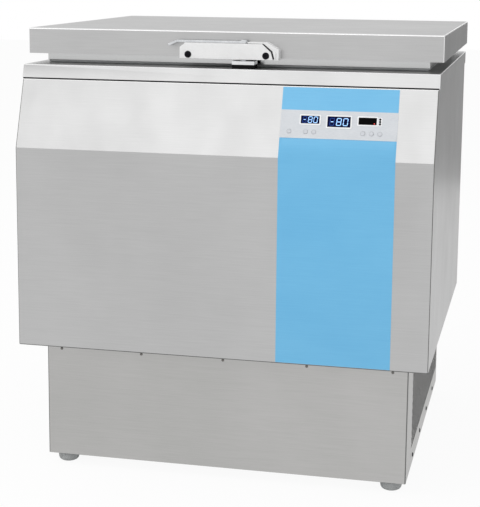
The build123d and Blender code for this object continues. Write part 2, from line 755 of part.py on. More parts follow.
# Lid liner: moulded flange, step and plug in one piece
liner_top = lid_low + sheet + liner_flange
step_outline = shrink(lid_outline, step_inset)
plug_outline = shrink(shrink(tank_outer, tank_wall), lid_swing_clearance)
plug_low = step_low - plug_depth
with BuildPart() as lid_liner:
    slab(shrink(lid_outline, sheet), lid_low + sheet, liner_top)
    slab(step_outline, step_low, lid_low + sheet, step_corner)
    slab(plug_outline, step_low, plug_low, plug_corner, plug_draft)
    chamfer(lid_liner.faces().sort_by(Axis.Z)[0].edges(), liner_wall)
    slab(shrink(step_outline, liner_wall), step_low + liner_wall, liner_top, step_corner - liner_wall,
         mode=Mode.SUBTRACT)
    slab(shrink(plug_outline, liner_wall), step_low + liner_wall, plug_low + liner_wall, plug_corner - liner_wall,
         plug_draft, Mode.SUBTRACT)
lid_liner.part.label = "lid_liner"
export_step(lid_liner.part, "parts/lid_liner.step")

with BuildPart() as lid_foam:
    slab(shrink(lid_outline, sheet), liner_top, lid_top - sheet)
    slab(shrink(step_outline, liner_wall), step_low + liner_wall, liner_top, step_corner - liner_wall)
    slab(shrink(plug_outline, liner_wall), step_low + liner_wall, plug_low + liner_wall, plug_corner - liner_wall,
         plug_draft)
lid_foam.part.label = "lid_foam"
export_step(lid_foam.part, "parts/lid_foam.step")

# Gasket under the step
gasket_outline = shrink(step_outline, gasket_inset)
gasket_low = rim_top + gasket_clearance
with BuildPart() as lid_gasket:
    slab(gasket_outline, gasket_low, step_low, step_corner)
    slab(shrink(gasket_outline, gasket_width), gasket_low, step_low, step_corner, mode=Mode.SUBTRACT)
    chamfer(lid_gasket.faces().sort_by(Axis.Z)[0].edges(), (step_low - gasket_low) * 0.4)
lid_gasket.part.label = "lid_gasket"
export_step(lid_gasket.part, "parts/lid_gasket.step")

# Latch housing: base plate, right-hand rim, screw bosses and two lugs for the spindle
lid_face = lid_outline[1]
latch_low = lid_low - latch_drop
plate_back = lid_face - latch_depth
top_left = latch_low + latch_height_left
top_right = latch_low + latch_height_right
cheek_left = latch_right - latch_cheek[0]
plate_points = (
    (latch_left, latch_low),
    (latch_right, latch_low),
    (latch_right - 2, latch_low + 2),
    (latch_right - latch_cheek[0] / 4, top_right - latch_cheek[1]),
    (cheek_left, top_right),
    (latch_left + latch_chamfer[0], top_left),
    (latch_left, top_left - latch_chamfer[1]),
)
reach = latch_gap + latch_rim
screw_places = [(x, latch_low + latch_screw_height) for x in (latch_screw_left, latch_screw_right)]
spindle_y = plate_back + spindle_behind_plate
lever_low = top_right + lever_lift
rim_left = spindle_x + lever_width / 2 + lever_end_clearance
with BuildPart() as latch_housing:
    front_view(
        (
            (latch_left, latch_low),
            (latch_right + reach, latch_low),
            (latch_right + reach, top_right - latch_cheek[1] + reach / 2),
            (cheek_left + reach, top_right + latch_gap),
            (rim_left, top_right + latch_gap),
            (rim_left, top_right),
            (latch_left + latch_chamfer[0], top_left),
            (latch_left, top_left - latch_chamfer[1]),
        ),
        lid_face - latch_base,
        lid_face,
    )
    # Rim that stands round the right-hand end of the cover plate, as far as the end of the lever
    front_view(
        (
            (latch_right + latch_gap, latch_low),
            (latch_right + reach, latch_low),
            (latch_right + reach, top_right - latch_cheek[1] + reach / 2),
            (cheek_left + reach, top_right + latch_gap),
            (rim_left, top_right + latch_gap),
            (rim_left, top_right + lever_lift),
            (cheek_left + latch_gap, top_right + lever_lift),
            (latch_right + latch_gap, top_right - latch_cheek[1]),
        ),
        plate_back,
        lid_face - latch_base,
    )
    for x, z in screw_places:
        rod(Plane.XZ.offset(-(lid_face - latch_base)), [(x, z)], latch_boss_radius * 0.8, latch_depth - latch_base)
    for low in (latch_low, top_right - lug_thickness):
        block((spindle_x - lug_radius, spindle_x + lug_radius), (spindle_y, lid_face - latch_base),
              (low, low + lug_thickness))
        rod(Plane.XY.offset(low), [(spindle_x, spindle_y)], lug_radius * 0.85, lug_thickness)
    rod(Plane.XY.offset(latch_low - 1), [(spindle_x, spindle_y)], spindle_radius + spindle_clearance,
        latch_height_right + 2, Mode.SUBTRACT)
latch_housing.part.label = "latch_housing"
export_step(latch_housing.part, "parts/latch_housing.step")

with BuildPart() as latch_cover_plate:
    front_view(plate_points, plate_back - latch_plate, plate_back)
    chamfer(latch_cover_plate.faces().sort_by(Axis.Y)[0].edges(), latch_plate * 0.3)
    rod(Plane.XZ.offset(-plate_back), screw_places, latch_screw_radius, latch_plate, Mode.SUBTRACT)
latch_cover_plate.part.label = "latch_cover_plate"
export_step(latch_cover_plate.part, "parts/latch_cover_plate.step")

# Socket screws, heads set in the cover plate
with BuildPart() as latch_screws:
    rod(Plane.XZ.offset(-plate_back), screw_places, latch_screw_radius, latch_plate + 1)
    with BuildSketch(Plane.XZ.offset(-(plate_back - latch_plate - 1))) as sockets:
        with Locations(*screw_places):
            RegularPolygon(latch_screw_radius * 0.5, 6)
    extrude(sockets.sketch, amount=-latch_plate, mode=Mode.SUBTRACT)
latch_screws.part.label = "latch_screws"
export_step(latch_screws.part, "parts/latch_screws.step")

# Latch lever: flat bar with a finger tip bent down, turning with the spindle
tip_x = spindle_x - lever_reach
with BuildPart() as latch_lever:
    with BuildSketch(Plane.XZ.offset(-(spindle_y + lever_width / 2))) as lever_section:
        with BuildLine():
            Polyline(
                (spindle_x, lever_low),
                (tip_x, lever_low),
                (tip_x - lever_tip[0], lever_low - lever_tip[1]),
                (tip_x - lever_tip[0] - lever_thickness / 2, lever_low - lever_tip[1] + lever_thickness),
                (tip_x, lever_low + lever_thickness),
                (spindle_x, lever_low + lever_thickness),
                close=True,
            )
        make_face()
        fillet(lever_section.vertices().group_by(Axis.X)[2], lever_thickness)
    extrude(lever_section.sketch, amount=lever_width)
    rod(Plane.XY.offset(lever_low), [(spindle_x, spindle_y)], lever_width / 2, lever_thickness)
    rod(Plane.XY.offset(lever_low), [(spindle_x, spindle_y)], spindle_radius, lever_thickness, Mode.SUBTRACT)
latch_lever.part.label = "latch_lever"
export_step(latch_lever.part, "parts/latch_lever.step")

# Spindle with a flat head above the lever and the cam under the housing
cam_top = latch_low - cam_clearance
with BuildPart() as latch_spindle:
    with BuildSketch(Plane.XY.offset(cam_top - cam_thickness)) as cam:
        with Locations((spindle_x, spindle_y)):
            Circle(spindle_radius * 1.5)
        with Locations((spindle_x, spindle_y + cam_radius / 2)):
            Rectangle(spindle_radius * 1.6, cam_radius)
    extrude(cam.sketch, amount=cam_thickness)
    rod(Plane.XY.offset(cam_top), [(spindle_x, spindle_y)], spindle_radius,
        lever_low + lever_thickness - cam_top)
    rod(Plane.XY.offset(lever_low + lever_thickness), [(spindle_x, spindle_y)], spindle_radius * 1.3, spindle_head)
    chamfer(latch_spindle.faces().sort_by(Axis.Z)[-1].edges(), spindle_head * 0.4)
latch_spindle.part.label = "latch_spindle"
export_step(latch_spindle.part, "parts/latch_spindle.step")

# Striker on the rim, under the cam
striker_x = (spindle_x - striker_width / 2, spindle_x + striker_width / 2)
striker_y = (behind(striker_behind), behind(striker_behind + striker_depth))
with BuildPart() as striker_pad:
    block(striker_x, striker_y, (rim_top, rim_top + striker_pad_height))
striker_pad.part.label = "striker_pad"
export_step(striker_pad.part, "parts/striker_pad.step")

with BuildPart() as striker_plate:
    block(striker_x, striker_y, (rim_top + striker_pad_height, rim_top + striker_height))
    block((striker_x[0] + striker_lip, striker_x[1] - striker_lip), (striker_y[0] + striker_lip, striker_y[1]),
          (rim_top + striker_pad_height, rim_top + striker_height - striker_lip), Mode.SUBTRACT)
    fillet(striker_plate.faces().sort_by(Axis.Z)[-1].edges(), 1)
striker_plate.part.label = "striker_plate"
export_step(striker_plate.part, "parts/striker_plate.step")

# Hinges: lower leaves on the back of the cabinet, upper leaves on the back of the lid, and their pins
pin_y = behind(hinge_behind)
leaf_face = behind(rim_behind)
leaf_back = leaf_face + leaf_thickness
panel_face = behind(cabinet_depth)
hinge_places = (-hinge_spacing / 2, hinge_spacing / 2)
lower_leaf = (
    (panel_face, rim_low - leaf_drop),
    (panel_face + leaf_thickness, rim_low - leaf_drop),
    (panel_face + leaf_thickness, rim_low - 3),
    (leaf_back, rim_low),
    (leaf_back, hinge_height),
    (leaf_face, hinge_height),
    (leaf_face, rim_low - seam / 2),
    (panel_face, rim_low - seam / 2),
)
upper_leaf = (
    (leaf_face, hinge_height),
    (leaf_back, hinge_height),
    (leaf_back, lid_low + leaf_rise),
    (leaf_face, lid_low + leaf_rise),
)
cabinet_leaf_screws = [
    (x + offset, rim_low - leaf_drop + rise)
    for x in hinge_places
    for offset in (-leaf_screw_spacing / 2, leaf_screw_spacing / 2)
    for rise in (leaf_drop * 0.2, leaf_drop * 0.65)
]
with BuildPart() as cabinet_hinge_leaves:
    for x in hinge_places:
        low_x = x - hinge_width / 2
        side_view(lower_leaf, low_x, low_x + hinge_width)
        rod(Plane.YZ.offset(low_x), [(pin_y, hinge_height)], knuckle_radius, hinge_width)
        half_gap = hinge_middle / 2 + hinge_side_clearance
        block((x - half_gap, x + half_gap), (leaf_face, pin_y + knuckle_radius),
              (rim_top + 0.5, hinge_height + knuckle_radius), Mode.SUBTRACT)
        rod(Plane.YZ.offset(low_x), [(pin_y, hinge_height)], pin_radius, hinge_width, Mode.SUBTRACT)
cabinet_hinge_leaves.part.label = "cabinet_hinge_leaves"
export_step(cabinet_hinge_leaves.part, "parts/cabinet_hinge_leaves.step")

with BuildPart() as lid_hinge_leaves:
    for x in hinge_places:
        side_view(upper_leaf, x - hinge_width / 2, x + hinge_width / 2)
        for side in (-1, 1):
            edge_x = sorted((x + side * hinge_middle / 2, x + side * (hinge_width / 2 + 1)))
            block(edge_x, (leaf_face, leaf_back), (hinge_height, lid_low + leaf_thickness), Mode.SUBTRACT)
        rod(Plane.YZ.offset(x - hinge_middle / 2), [(pin_y, hinge_height)], knuckle_radius, hinge_middle)
        rod(Plane.YZ.offset(x - hinge_middle / 2), [(pin_y, hinge_height)], pin_radius + pin_clearance, hinge_middle,
            Mode.SUBTRACT)
lid_hinge_leaves.part.label = "lid_hinge_leaves"
export_step(lid_hinge_leaves.part, "parts/lid_hinge_leaves.step")

with BuildPart() as hinge_pins:
    for x in hinge_places:
        rod(Plane.YZ.offset(x - hinge_width / 2), [(pin_y, hinge_height)], pin_radius, hinge_width)
hinge_pins.part.label = "hinge_pins"
export_step(hinge_pins.part, "parts/hinge_pins.step")

# Screw heads on the lower leaves
leaf_plane = Plane(origin=(0, panel_face + leaf_thickness, 0), x_dir=(-1, 0, 0), z_dir=(0, 1, 0))
with BuildPart() as hinge_screws:
    prism(leaf_plane, [(-x, z) for x, z in cabinet_leaf_screws], screw_head_radius, screw_head_height, 12)
hinge_screws.part.label = "hinge_screws"
export_step(hinge_screws.part, "parts/hinge_screws.step")

# Compressors of the two stages: welded shell, base plate, terminal cover and two pipe stubs
shell_low = tray_top + grommet_height + compressor_plate[2]
shell_high = shell_low + compressor_height
weld = shell_low + compressor_height * 0.55
brow = shell_high - compressor_dome
for name, distance in zip(("compressor_first_stage", "compressor_second_stage"), compressor_behind):
    y = behind(distance)
    with BuildPart() as compressor:
        with BuildSketch(Plane(origin=(compressor_x, y, 0), x_dir=(1, 0, 0), z_dir=(0, -1, 0))) as shell_section:
            Polygon(
                (0, shell_low),
                (compressor_radius * 0.75, shell_low),
                (compressor_radius, shell_low + compressor_dome / 2),
                (compressor_radius, weld),
                (compressor_radius + weld_ridge, weld + weld_ridge),
                (compressor_radius, weld + 2 * weld_ridge),
                (compressor_radius, brow),
                (compressor_radius * 0.85, shell_high - compressor_dome * 0.45),
                (compressor_radius * 0.5, shell_high - compressor_dome * 0.1),
                (0, shell_high),
                align=None,
            )
        revolve(shell_section.sketch, axis=Axis((compressor_x, y, 0), (0, 0, 1)))
        with BuildSketch(Plane.XY.offset(tray_top + grommet_height)) as base_plate:
            with Locations((compressor_x, y)):
                Rectangle(compressor_plate[0], compressor_plate[1])
                chamfer(base_plate.vertices(), 14)
        extrude(base_plate.sketch, amount=compressor_plate[2])
        for rise, offset in zip(stub_heights, (-stub_offset, stub_offset)):
            rod(Plane.YZ.offset(compressor_x), [(y + offset, shell_low + rise)], stub_radius,
                compressor_radius + stub_length)
        block((compressor_x - 28, compressor_x + 28), (y - compressor_radius - 22, y - compressor_radius * 0.8),
              (shell_low + 60, shell_low + 115))
    compressor.part.label = name
    export_step(compressor.part, f"parts/{name}.step")

grommet_places = [
    (compressor_x + i * (compressor_plate[0] / 2 - 18), behind(distance) + j * (compressor_plate[1] / 2 - 18))
    for distance in compressor_behind
    for i in (-1, 1)
    for j in (-1, 1)
]
with BuildPart() as compressor_grommets:
    prism(Plane.XY.offset(tray_top), grommet_places, grommet_radius, grommet_height, 8)
compressor_grommets.part.label = "compressor_grommets"
export_step(compressor_grommets.part, "parts/compressor_grommets.step")

# Condenser: tube rows through a stack of fins, standing on two legs
condenser_y = (behind(condenser_behind[0]), behind(condenser_behind[1]))
condenser_z = (tray_top + condenser_low, tray_top + condenser_high)
condenser_middle = sum(condenser_x) / 2
fin_pitch = (condenser_y[1] - condenser_y[0] - fin_thickness) / (fin_count - 1)
tube_pitch = (condenser_z[1] - condenser_z[0]) / tube_rows
with BuildPart() as condenser:
    for i in range(fin_count):
        fin_y = condenser_y[0] + i * fin_pitch
        is_end = i in (0, fin_count - 1)
        block(condenser_x, (fin_y, fin_y + fin_thickness), (tray_top if is_end else condenser_z[0], condenser_z[1]))
    for row in range(tube_rows):
        tube_z = condenser_z[0] + (row + 0.5) * tube_pitch
        block((condenser_middle - tube_size / 2, condenser_middle + tube_size / 2),
              (condenser_y[0] - tube_size, condenser_y[1] + tube_size), (tube_z - tube_size / 2, tube_z + tube_size / 2))
    for row in range(tube_rows - 1):
        bend_y = (condenser_y[1], condenser_y[1] + tube_size) if row % 2 == 0 else (
            condenser_y[0] - tube_size, condenser_y[0])
        tube_z = condenser_z[0] + (row + 0.5) * tube_pitch
        block((condenser_middle - tube_size / 2, condenser_middle + tube_size / 2), bend_y,
              (tube_z, tube_z + tube_pitch))
condenser.part.label = "condenser"
export_step(condenser.part, "parts/condenser.step")

# Fan shroud: plate on the condenser with a round duct
fan_y = behind(fan_behind)
fan_z = tray_top + fan_height
duct_radius = fan_radius + fan_tip_clearance
duct_x = condenser_x[0] - duct_length
with BuildPart() as fan_shroud:
    block((condenser_x[0] - frame_thickness, condenser_x[0]), condenser_y, condenser_z)
    rod(Plane.YZ.offset(duct_x), [(fan_y, fan_z)], duct_radius + duct_wall, duct_length)
    rod(Plane.YZ.offset(duct_x), [(fan_y, fan_z)], duct_radius, duct_length, Mode.SUBTRACT)
fan_shroud.part.label = "fan_shroud"
export_step(fan_shroud.part, "parts/fan_shroud.step")

# Fan motor with a four-armed bracket on the end of the duct, and its shaft
rotor_x = (duct_x + motor_gap, condenser_x[0] - frame_thickness - 4)
with BuildPart() as fan_motor:
    rod(Plane.YZ.offset(duct_x - motor_length), [(fan_y, fan_z)], motor_radius, motor_length)
    chamfer(fan_motor.faces().sort_by(Axis.X)[0].edges(), 6)
    with BuildSketch(Plane.YZ.offset(duct_x - arm_thickness)) as arms:
        with Locations((fan_y, fan_z)):
            for angle in (45, 135):
                Rectangle(2 * duct_radius + duct_wall, arm_width, rotation=angle)
    extrude(arms.sketch, amount=arm_thickness)
    rod(Plane.YZ.offset(duct_x), [(fan_y, fan_z)], shaft_radius, rotor_x[1] - duct_x)
fan_motor.part.label = "fan_motor"
export_step(fan_motor.part, "parts/fan_motor.step")

# Fan rotor: hub with flat blades, set at an angle
rotor_middle = sum(rotor_x) / 2
with BuildPart() as fan_rotor:
    rod(Plane.YZ.offset(rotor_x[0]), [(fan_y, fan_z)], fan_hub_radius, rotor_x[1] - rotor_x[0])
    for blade in range(fan_blades):
        angle = 2 * pi * blade / fan_blades
        outward = Vector(0, cos(angle), sin(angle))
        root = Vector(rotor_middle, fan_y, fan_z) + outward * (fan_hub_radius - 2)
        with BuildSketch(Plane(origin=root, x_dir=(1, 0, 0), z_dir=outward)) as blade_section:
            Rectangle(blade_chord, blade_thickness, rotation=90 - blade_pitch)
        extrude(blade_section.sketch, amount=fan_radius - fan_hub_radius + 2)
    rod(Plane.YZ.offset(rotor_x[0]), [(fan_y, fan_z)], shaft_radius + shaft_clearance, rotor_x[1] - rotor_x[0],
        Mode.SUBTRACT)
fan_rotor.part.label = "fan_rotor"
export_step(fan_rotor.part, "parts/fan_rotor.step")

# Cascade heat exchanger: brazed plate pack on a foot
exchanger_y = (behind(exchanger_behind[0]), behind(exchanger_behind[1]))
with BuildPart() as cascade_heat_exchanger:
    block(exchanger_x, exchanger_y, (tray_top + 8, tray_top + exchanger_height))
    chamfer(cascade_heat_exchanger.edges().filter_by(Axis.Y), 8)
    block((exchanger_x[0] + 5, exchanger_x[1] - 5), (exchanger_y[0] - 8, exchanger_y[1] + 8), (tray_top, tray_top + 8))
cascade_heat_exchanger.part.label = "cascade_heat_exchanger"
export_step(cascade_heat_exchanger.part, "parts/cascade_heat_exchanger.step")

# Filter driers, one in each stage: copper cartridges on saddles
low_tube = condenser_z[0] + tube_pitch / 2
high_tube = condenser_z[1] - tube_pitch / 2
high_z, low_z = (shell_low + rise for rise in stub_heights)
with BuildPart() as filter_driers:
    for x, start, drier_z in (
        (drier_x, behind(drier_behind), low_tube),
        (coil_tail_spacing / 2, behind(second_drier_behind), low_z),
    ):
        with BuildSketch(Plane(origin=(x, start, drier_z), x_dir=(1, 0, 0), z_dir=(0, 0, 1))) as drier_section:
            with BuildLine():
                Polyline(
                    (0, 0),
                    (drier_radius * 0.35, 0),
                    (drier_radius, drier_radius),
                    (drier_radius, drier_length - drier_radius),
                    (drier_radius * 0.35, drier_length),
                    (0, drier_length),
                    close=True,
                )
            make_face()
        revolve(drier_section.sketch, axis=Axis((x, start, drier_z), (0, 1, 0)))
        block((x - drier_radius * 0.8, x + drier_radius * 0.8),
              (start + drier_length * 0.4, start + drier_length * 0.6), (tray_top, drier_z))
filter_driers.part.label = "filter_driers"
export_step(filter_driers.part, "parts/filter_driers.step")

# Electrical box on the rear panel
box_y = (behind(base_behind - sheet - box_length), behind(base_behind - sheet))
with BuildPart() as electrical_box:
    block(box_x, box_y, (tray_top + box_low, tray_top + box_high))
    chamfer(electrical_box.faces().sort_by(Axis.Y)[0].edges(), 3)
electrical_box.part.label = "electrical_box"
export_step(electrical_box.part, "parts/electrical_box.step")

# Mains inlet and switch frame in the rear panel
inlet_plane = Plane(origin=(inlet_x, behind(base_behind), inlet_z), x_dir=(-1, 0, 0), z_dir=(0, 1, 0))
socket_place = (-inlet_plate[0] / 2 + 6 + inlet_socket[0] / 2, 0)
rocker_place = (inlet_plate[0] / 2 - 8 - rocker_size[0] / 2, 0)
with BuildPart() as mains_inlet:
    with BuildSketch(inlet_plane) as plate_sketch:
        Rectangle(inlet_plate[0], inlet_plate[1])
        fillet(plate_sketch.vertices(), 3)
    extrude(plate_sketch.sketch, amount=inlet_plate[2])
    with BuildSketch(inlet_plane) as body_sketch:
        Rectangle(inlet_body[0], inlet_body[1])
    extrude(body_sketch.sketch, amount=-inlet_body[2])
    with BuildSketch(inlet_plane.offset(inlet_plate[2])) as socket_sketch:
        with Locations(socket_place):
            Rectangle(inlet_socket[0], inlet_socket[1])
            chamfer(socket_sketch.vertices().group_by(Axis.Y)[-1], 5)
        with Locations(rocker_place):
            Rectangle(rocker_size[0] + 2 * rocker_clearance, rocker_size[1] + 4 * rocker_clearance)
    extrude(socket_sketch.sketch, amount=-inlet_socket[2], mode=Mode.SUBTRACT)
    with BuildSketch(inlet_plane.offset(inlet_plate[2] - inlet_socket[2])) as pins:
        with Locations(*[(socket_place[0] + i * 7, -3 if i else 3) for i in (-1, 0, 1)]):
            Rectangle(2, 6)
    extrude(pins.sketch, amount=inlet_socket[2] * 0.7)
mains_inlet.part.label = "mains_inlet"
export_step(mains_inlet.part, "parts/mains_inlet.step")

# Rocker, tilted to its off position about a pivot across its middle
pivot = inlet_plane.offset(inlet_plate[2] - rocker_depth / 2)
pivot_x = inlet_x - rocker_place[0]
rocker_half = rocker_size[1] / 2
with BuildPart() as mains_rocker:
    with BuildSketch(Plane.YZ.offset(pivot_x - rocker_size[0] / 2)) as rocker_section:
        with Locations((pivot.origin.Y, inlet_z)):
            with Locations(Rotation(0, 0, rocker_tilt)):
                Polygon(
                    (-rocker_depth / 2, -rocker_half * 0.6),
                    (rocker_depth / 2, -rocker_half),
                    (rocker_depth / 2 + rocker_peak * 0.4, 0),
                    (rocker_depth / 2, rocker_half),
                    (-rocker_depth / 2, rocker_half * 0.6),
                    align=None,
                )
    extrude(rocker_section.sketch, amount=rocker_size[0])
mains_rocker.part.label = "mains_rocker"
export_step(mains_rocker.part, "parts/mains_rocker.step")


def pipe(points):
    """One tube along straight runs with mitred corners."""
    with BuildLine() as route:
        Polyline(*points)
    with BuildSketch(Plane(origin=route.line @ 0, z_dir=route.line % 0)) as tube_section:
        RegularPolygon(pipe_radius, 6)
    sweep(tube_section.sketch, path=route.line, transition=Transition.RIGHT)


stub_end = compressor_x + compressor_radius + stub_length
first_y, second_y = (behind(distance) for distance in compressor_behind)
tail_x = coil_tail_spacing / 2
tail_y = (tank_outer[2] + coil_outer[2]) / 2
tail_z = cabinet_low - coil_tail_drop
with BuildPart() as refrigerant_pipes:
    # First stage: discharge to the condenser, liquid line through its drier, suction from the heat exchanger
    pipe((
        (stub_end, first_y - stub_offset, high_z),
        (stub_end + pipe_run, first_y - stub_offset, high_z),
        (stub_end + pipe_run, first_y - stub_offset, high_tube),
        (stub_end + pipe_run, condenser_y[0] - tube_size - pipe_run, high_tube),
        (condenser_middle, condenser_y[0] - tube_size - pipe_run, high_tube),
        (condenser_middle, condenser_y[0] - tube_size, high_tube),
    ))
    pipe((
        (condenser_middle, condenser_y[0] - tube_size, low_tube),
        (condenser_middle, behind(drier_behind) - pipe_run * 0.6, low_tube),
        (drier_x, behind(drier_behind) - pipe_run * 0.6, low_tube),
        (drier_x, behind(drier_behind), low_tube),
    ))
    pipe((
        (drier_x, behind(drier_behind) + drier_length, low_tube),
        (drier_x, exchanger_y[1] + pipe_run * 0.6, low_tube),
        (exchanger_x[0] + port_inset, exchanger_y[1] + pipe_run * 0.6, low_tube),
        (exchanger_x[0] + port_inset, exchanger_y[1], low_tube),
    ))
    prism(Plane.YZ.offset(stub_end), [(first_y + stub_offset, low_z)], pipe_radius, exchanger_x[0] - stub_end, 6)
    # Second stage: discharge to the heat exchanger, liquid line through its drier, suction from the evaporator
    pipe((
        (stub_end, second_y - stub_offset, high_z),
        (exchanger_x[0] + port_inset, second_y - stub_offset, high_z),
        (exchanger_x[0] + port_inset, exchanger_y[1], high_z),
    ))
    prism(Plane.XZ.offset(-exchanger_y[1]), [(tail_x, low_z)], pipe_radius,
          exchanger_y[1] - behind(second_drier_behind), 6)
    pipe((
        (tail_x, behind(second_drier_behind) + drier_length, low_z),
        (tail_x, tail_y, low_z),
        (tail_x, tail_y, tail_z),
    ))
    pipe((
        (stub_end, second_y + stub_offset, low_z),
        (-tail_x, second_y + stub_offset, low_z),
        (-tail_x, tail_y, low_z),
        (-tail_x, tail_y, tail_z),
    ))
refrigerant_pipes.part.label = "refrigerant_pipes"
export_step(refrigerant_pipes.part, "parts/refrigerant_pipes.step")
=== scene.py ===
import json
from math import atan2, cos, pi, radians, sin

import bmesh
import bpy
from mathutils import Matrix, Vector

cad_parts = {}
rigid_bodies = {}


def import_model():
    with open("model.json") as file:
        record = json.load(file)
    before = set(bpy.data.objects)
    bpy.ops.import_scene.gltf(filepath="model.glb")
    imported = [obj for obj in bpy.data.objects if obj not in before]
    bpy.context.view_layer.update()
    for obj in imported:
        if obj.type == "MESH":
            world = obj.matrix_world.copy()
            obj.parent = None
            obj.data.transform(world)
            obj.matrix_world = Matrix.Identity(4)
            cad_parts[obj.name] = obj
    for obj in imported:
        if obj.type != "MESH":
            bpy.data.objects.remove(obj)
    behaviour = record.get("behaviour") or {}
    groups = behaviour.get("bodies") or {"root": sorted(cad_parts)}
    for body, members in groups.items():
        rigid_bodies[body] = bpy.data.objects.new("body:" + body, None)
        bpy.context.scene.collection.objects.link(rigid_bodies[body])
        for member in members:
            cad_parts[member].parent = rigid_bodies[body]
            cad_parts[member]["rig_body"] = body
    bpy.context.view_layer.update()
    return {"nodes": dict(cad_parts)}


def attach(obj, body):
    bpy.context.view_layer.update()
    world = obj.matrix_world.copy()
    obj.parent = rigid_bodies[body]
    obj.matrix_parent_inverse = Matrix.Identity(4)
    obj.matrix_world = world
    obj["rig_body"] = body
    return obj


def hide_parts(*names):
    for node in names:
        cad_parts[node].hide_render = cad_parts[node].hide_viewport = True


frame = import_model()
nodes = frame["nodes"]
scene = bpy.context.scene

# Sizes in millimetres, in the part's own frame: X to the right, Y to the back, Z up from the floor
MM = 0.001
FRONT = -386.5                  # Y of the flat front face of the cover
BEND = 648.0                    # height of the bend in the cover
SLOPE = atan2(45.5, 130.0)      # lean of the control face
BAND_LEFT = 113.5
FASCIA_TOP = 1.1                # outer face of the fascia above the cover
BASE_HALF = 360.0
PANEL_NEAR = -255.5             # front edge of the perforated panels
PANEL_FAR = 343.5
PANEL_LOW = 22.0
PANEL_HIGH = 258.0
SHEET = 1.2

slope_frame = Matrix((
    (1, 0, 0, 0),
    (0, sin(SLOPE), -cos(SLOPE), FRONT),
    (0, cos(SLOPE), sin(SLOPE), BEND),
    (0, 0, 0, 1),
))
millimetres = Matrix.Scale(MM, 4)


def new_object(name, data):
    """An object of its own in the scene."""
    thing = bpy.data.objects.new(name, data)
    scene.collection.objects.link(thing)
    return thing


def mesh_of(bm, name="shape"):
    """A mesh from a drawing, which is then thrown away."""
    mesh = bpy.data.meshes.new(name)
    bm.to_mesh(mesh)
    bm.free()
    return mesh


# Node trees

def add(tree, kind, inputs=None, **settings):
    """A node with its settings, its input values and its incoming links."""
    node = tree.nodes.new(kind)
    for name, value in settings.items():
        setattr(node, name, value)
    for name, value in (inputs or {}).items():
        if isinstance(value, bpy.types.NodeSocket):
            tree.links.new(value, node.inputs[name])
        else:
            node.inputs[name].default_value = value
    return node


def srgb(text):
    """Linear colour of a hex colour such as B7B8B9."""
    channels = [int(text[i:i + 2], 16) / 255 for i in (0, 2, 4)]
    return [c / 12.92 if c <= 0.04045 else ((c + 0.055) / 1.055) ** 2.4 for c in channels] + [1.0]


def empty_material(name):
    material = bpy.data.materials.new(name)
    material.use_nodes = True
    material.node_tree.nodes.clear()
    return material


# Two patterns added lie between 0 and 2, mostly within this range
PATTERN_LOW = 0.7
PATTERN_HIGH = 1.3


def finish(name, dark, light, tone, wear, marks, low, high, depth, cells=False, lit=0.0, **shader):
    """A material in object space.

    Its colour drifts between dark and light over the size tone, its roughness runs from low to high over
    the size wear, and marks of a depth show in both and in relief. Sizes and depth are in millimetres, one
    number or one each for X, Y and Z; cells turns the marks into cells, and lit makes the surface glow."""
    material = empty_material(name)
    tree = material.node_tree
    coordinates = add(tree, "ShaderNodeTexCoord").outputs["Object"]
    patterns = []
    for size, kind, detail in ((tone, "Noise", 3.0), (wear, "Noise", 4.0),
                               (marks, "Voronoi" if cells else "Noise", 0.0 if cells else 2.0)):
        sizes = size if isinstance(size, tuple) else (size, size, size)
        scaled = add(tree, "ShaderNodeMapping", {
            "Vector": coordinates, "Scale": [1 / (s * MM) for s in sizes]})
        patterns.append(add(tree, f"ShaderNodeTex{kind}", {
            "Vector": scaled.outputs[0], "Scale": 1.0, "Detail": detail, "Roughness": 0.55}).outputs[0])
    drift, worn, marked = patterns
    mapped = []
    for value, start, end in ((drift, 0.0, 1.0), (worn, low, high)):
        both = add(tree, "ShaderNodeMath", {0: value, 1: marked}, operation="ADD")
        mapped.append(add(tree, "ShaderNodeMapRange", {
            "Value": both.outputs[0], "From Min": PATTERN_LOW, "From Max": PATTERN_HIGH,
            "To Min": start, "To Max": end}).outputs[0])
    colour = add(tree, "ShaderNodeMix", {0: mapped[0], 6: srgb(dark), 7: srgb(light)},
                 data_type="RGBA").outputs[2]
    relief = add(tree, "ShaderNodeBump", {"Height": marked, "Distance": depth * MM, "Strength": 0.4})
    if lit:
        shader.update({"Emission Color": colour, "Emission Strength": lit})
    surface = add(tree, "ShaderNodeBsdfPrincipled", {
        "Base Color": colour, "Roughness": mapped[1], "Normal": relief.outputs[0], **shader})
    add(tree, "ShaderNodeOutputMaterial", {"Surface": surface.outputs[0]})
    return material


# Belt-ground stainless sheet. The real scratches are about 0.1 wide, too fine to show, so they are drawn 0.8
# wide; the tone drifts over a hand's breadth and wiping leaves smears
STEEL = {"Metallic": 1.0, "Specular Tint": srgb("F0F0F0")}
METAL = {"Metallic": 1.0}
UPRIGHT = (0.8, 0.8, 60.0)      # scratches that run up and down
LEVEL = (60.0, 60.0, 0.8)       # scratches that run round the casing
ACROSS = (60.0, 0.8, 0.8)       # scratches that run from side to side
SHEET_TONE = (260.0, 260.0, 340.0)
SMEARS = (70.0, 70.0, 110.0)

# Casing: soft level streaks and broad grey reflections
casing_level = finish("casing_steel_ground_level", "B6B6B6", "C1C1C1", SHEET_TONE, SMEARS, LEVEL, 0.30, 0.40,
                      0.005, **STEEL)
# Base: the same sheet, a little duller and warmer
base_steel = finish("base_steel_ground_level", "B0B0AE", "BCBBBA", SHEET_TONE, SMEARS, LEVEL, 0.33, 0.43,
                    0.005, **STEEL)
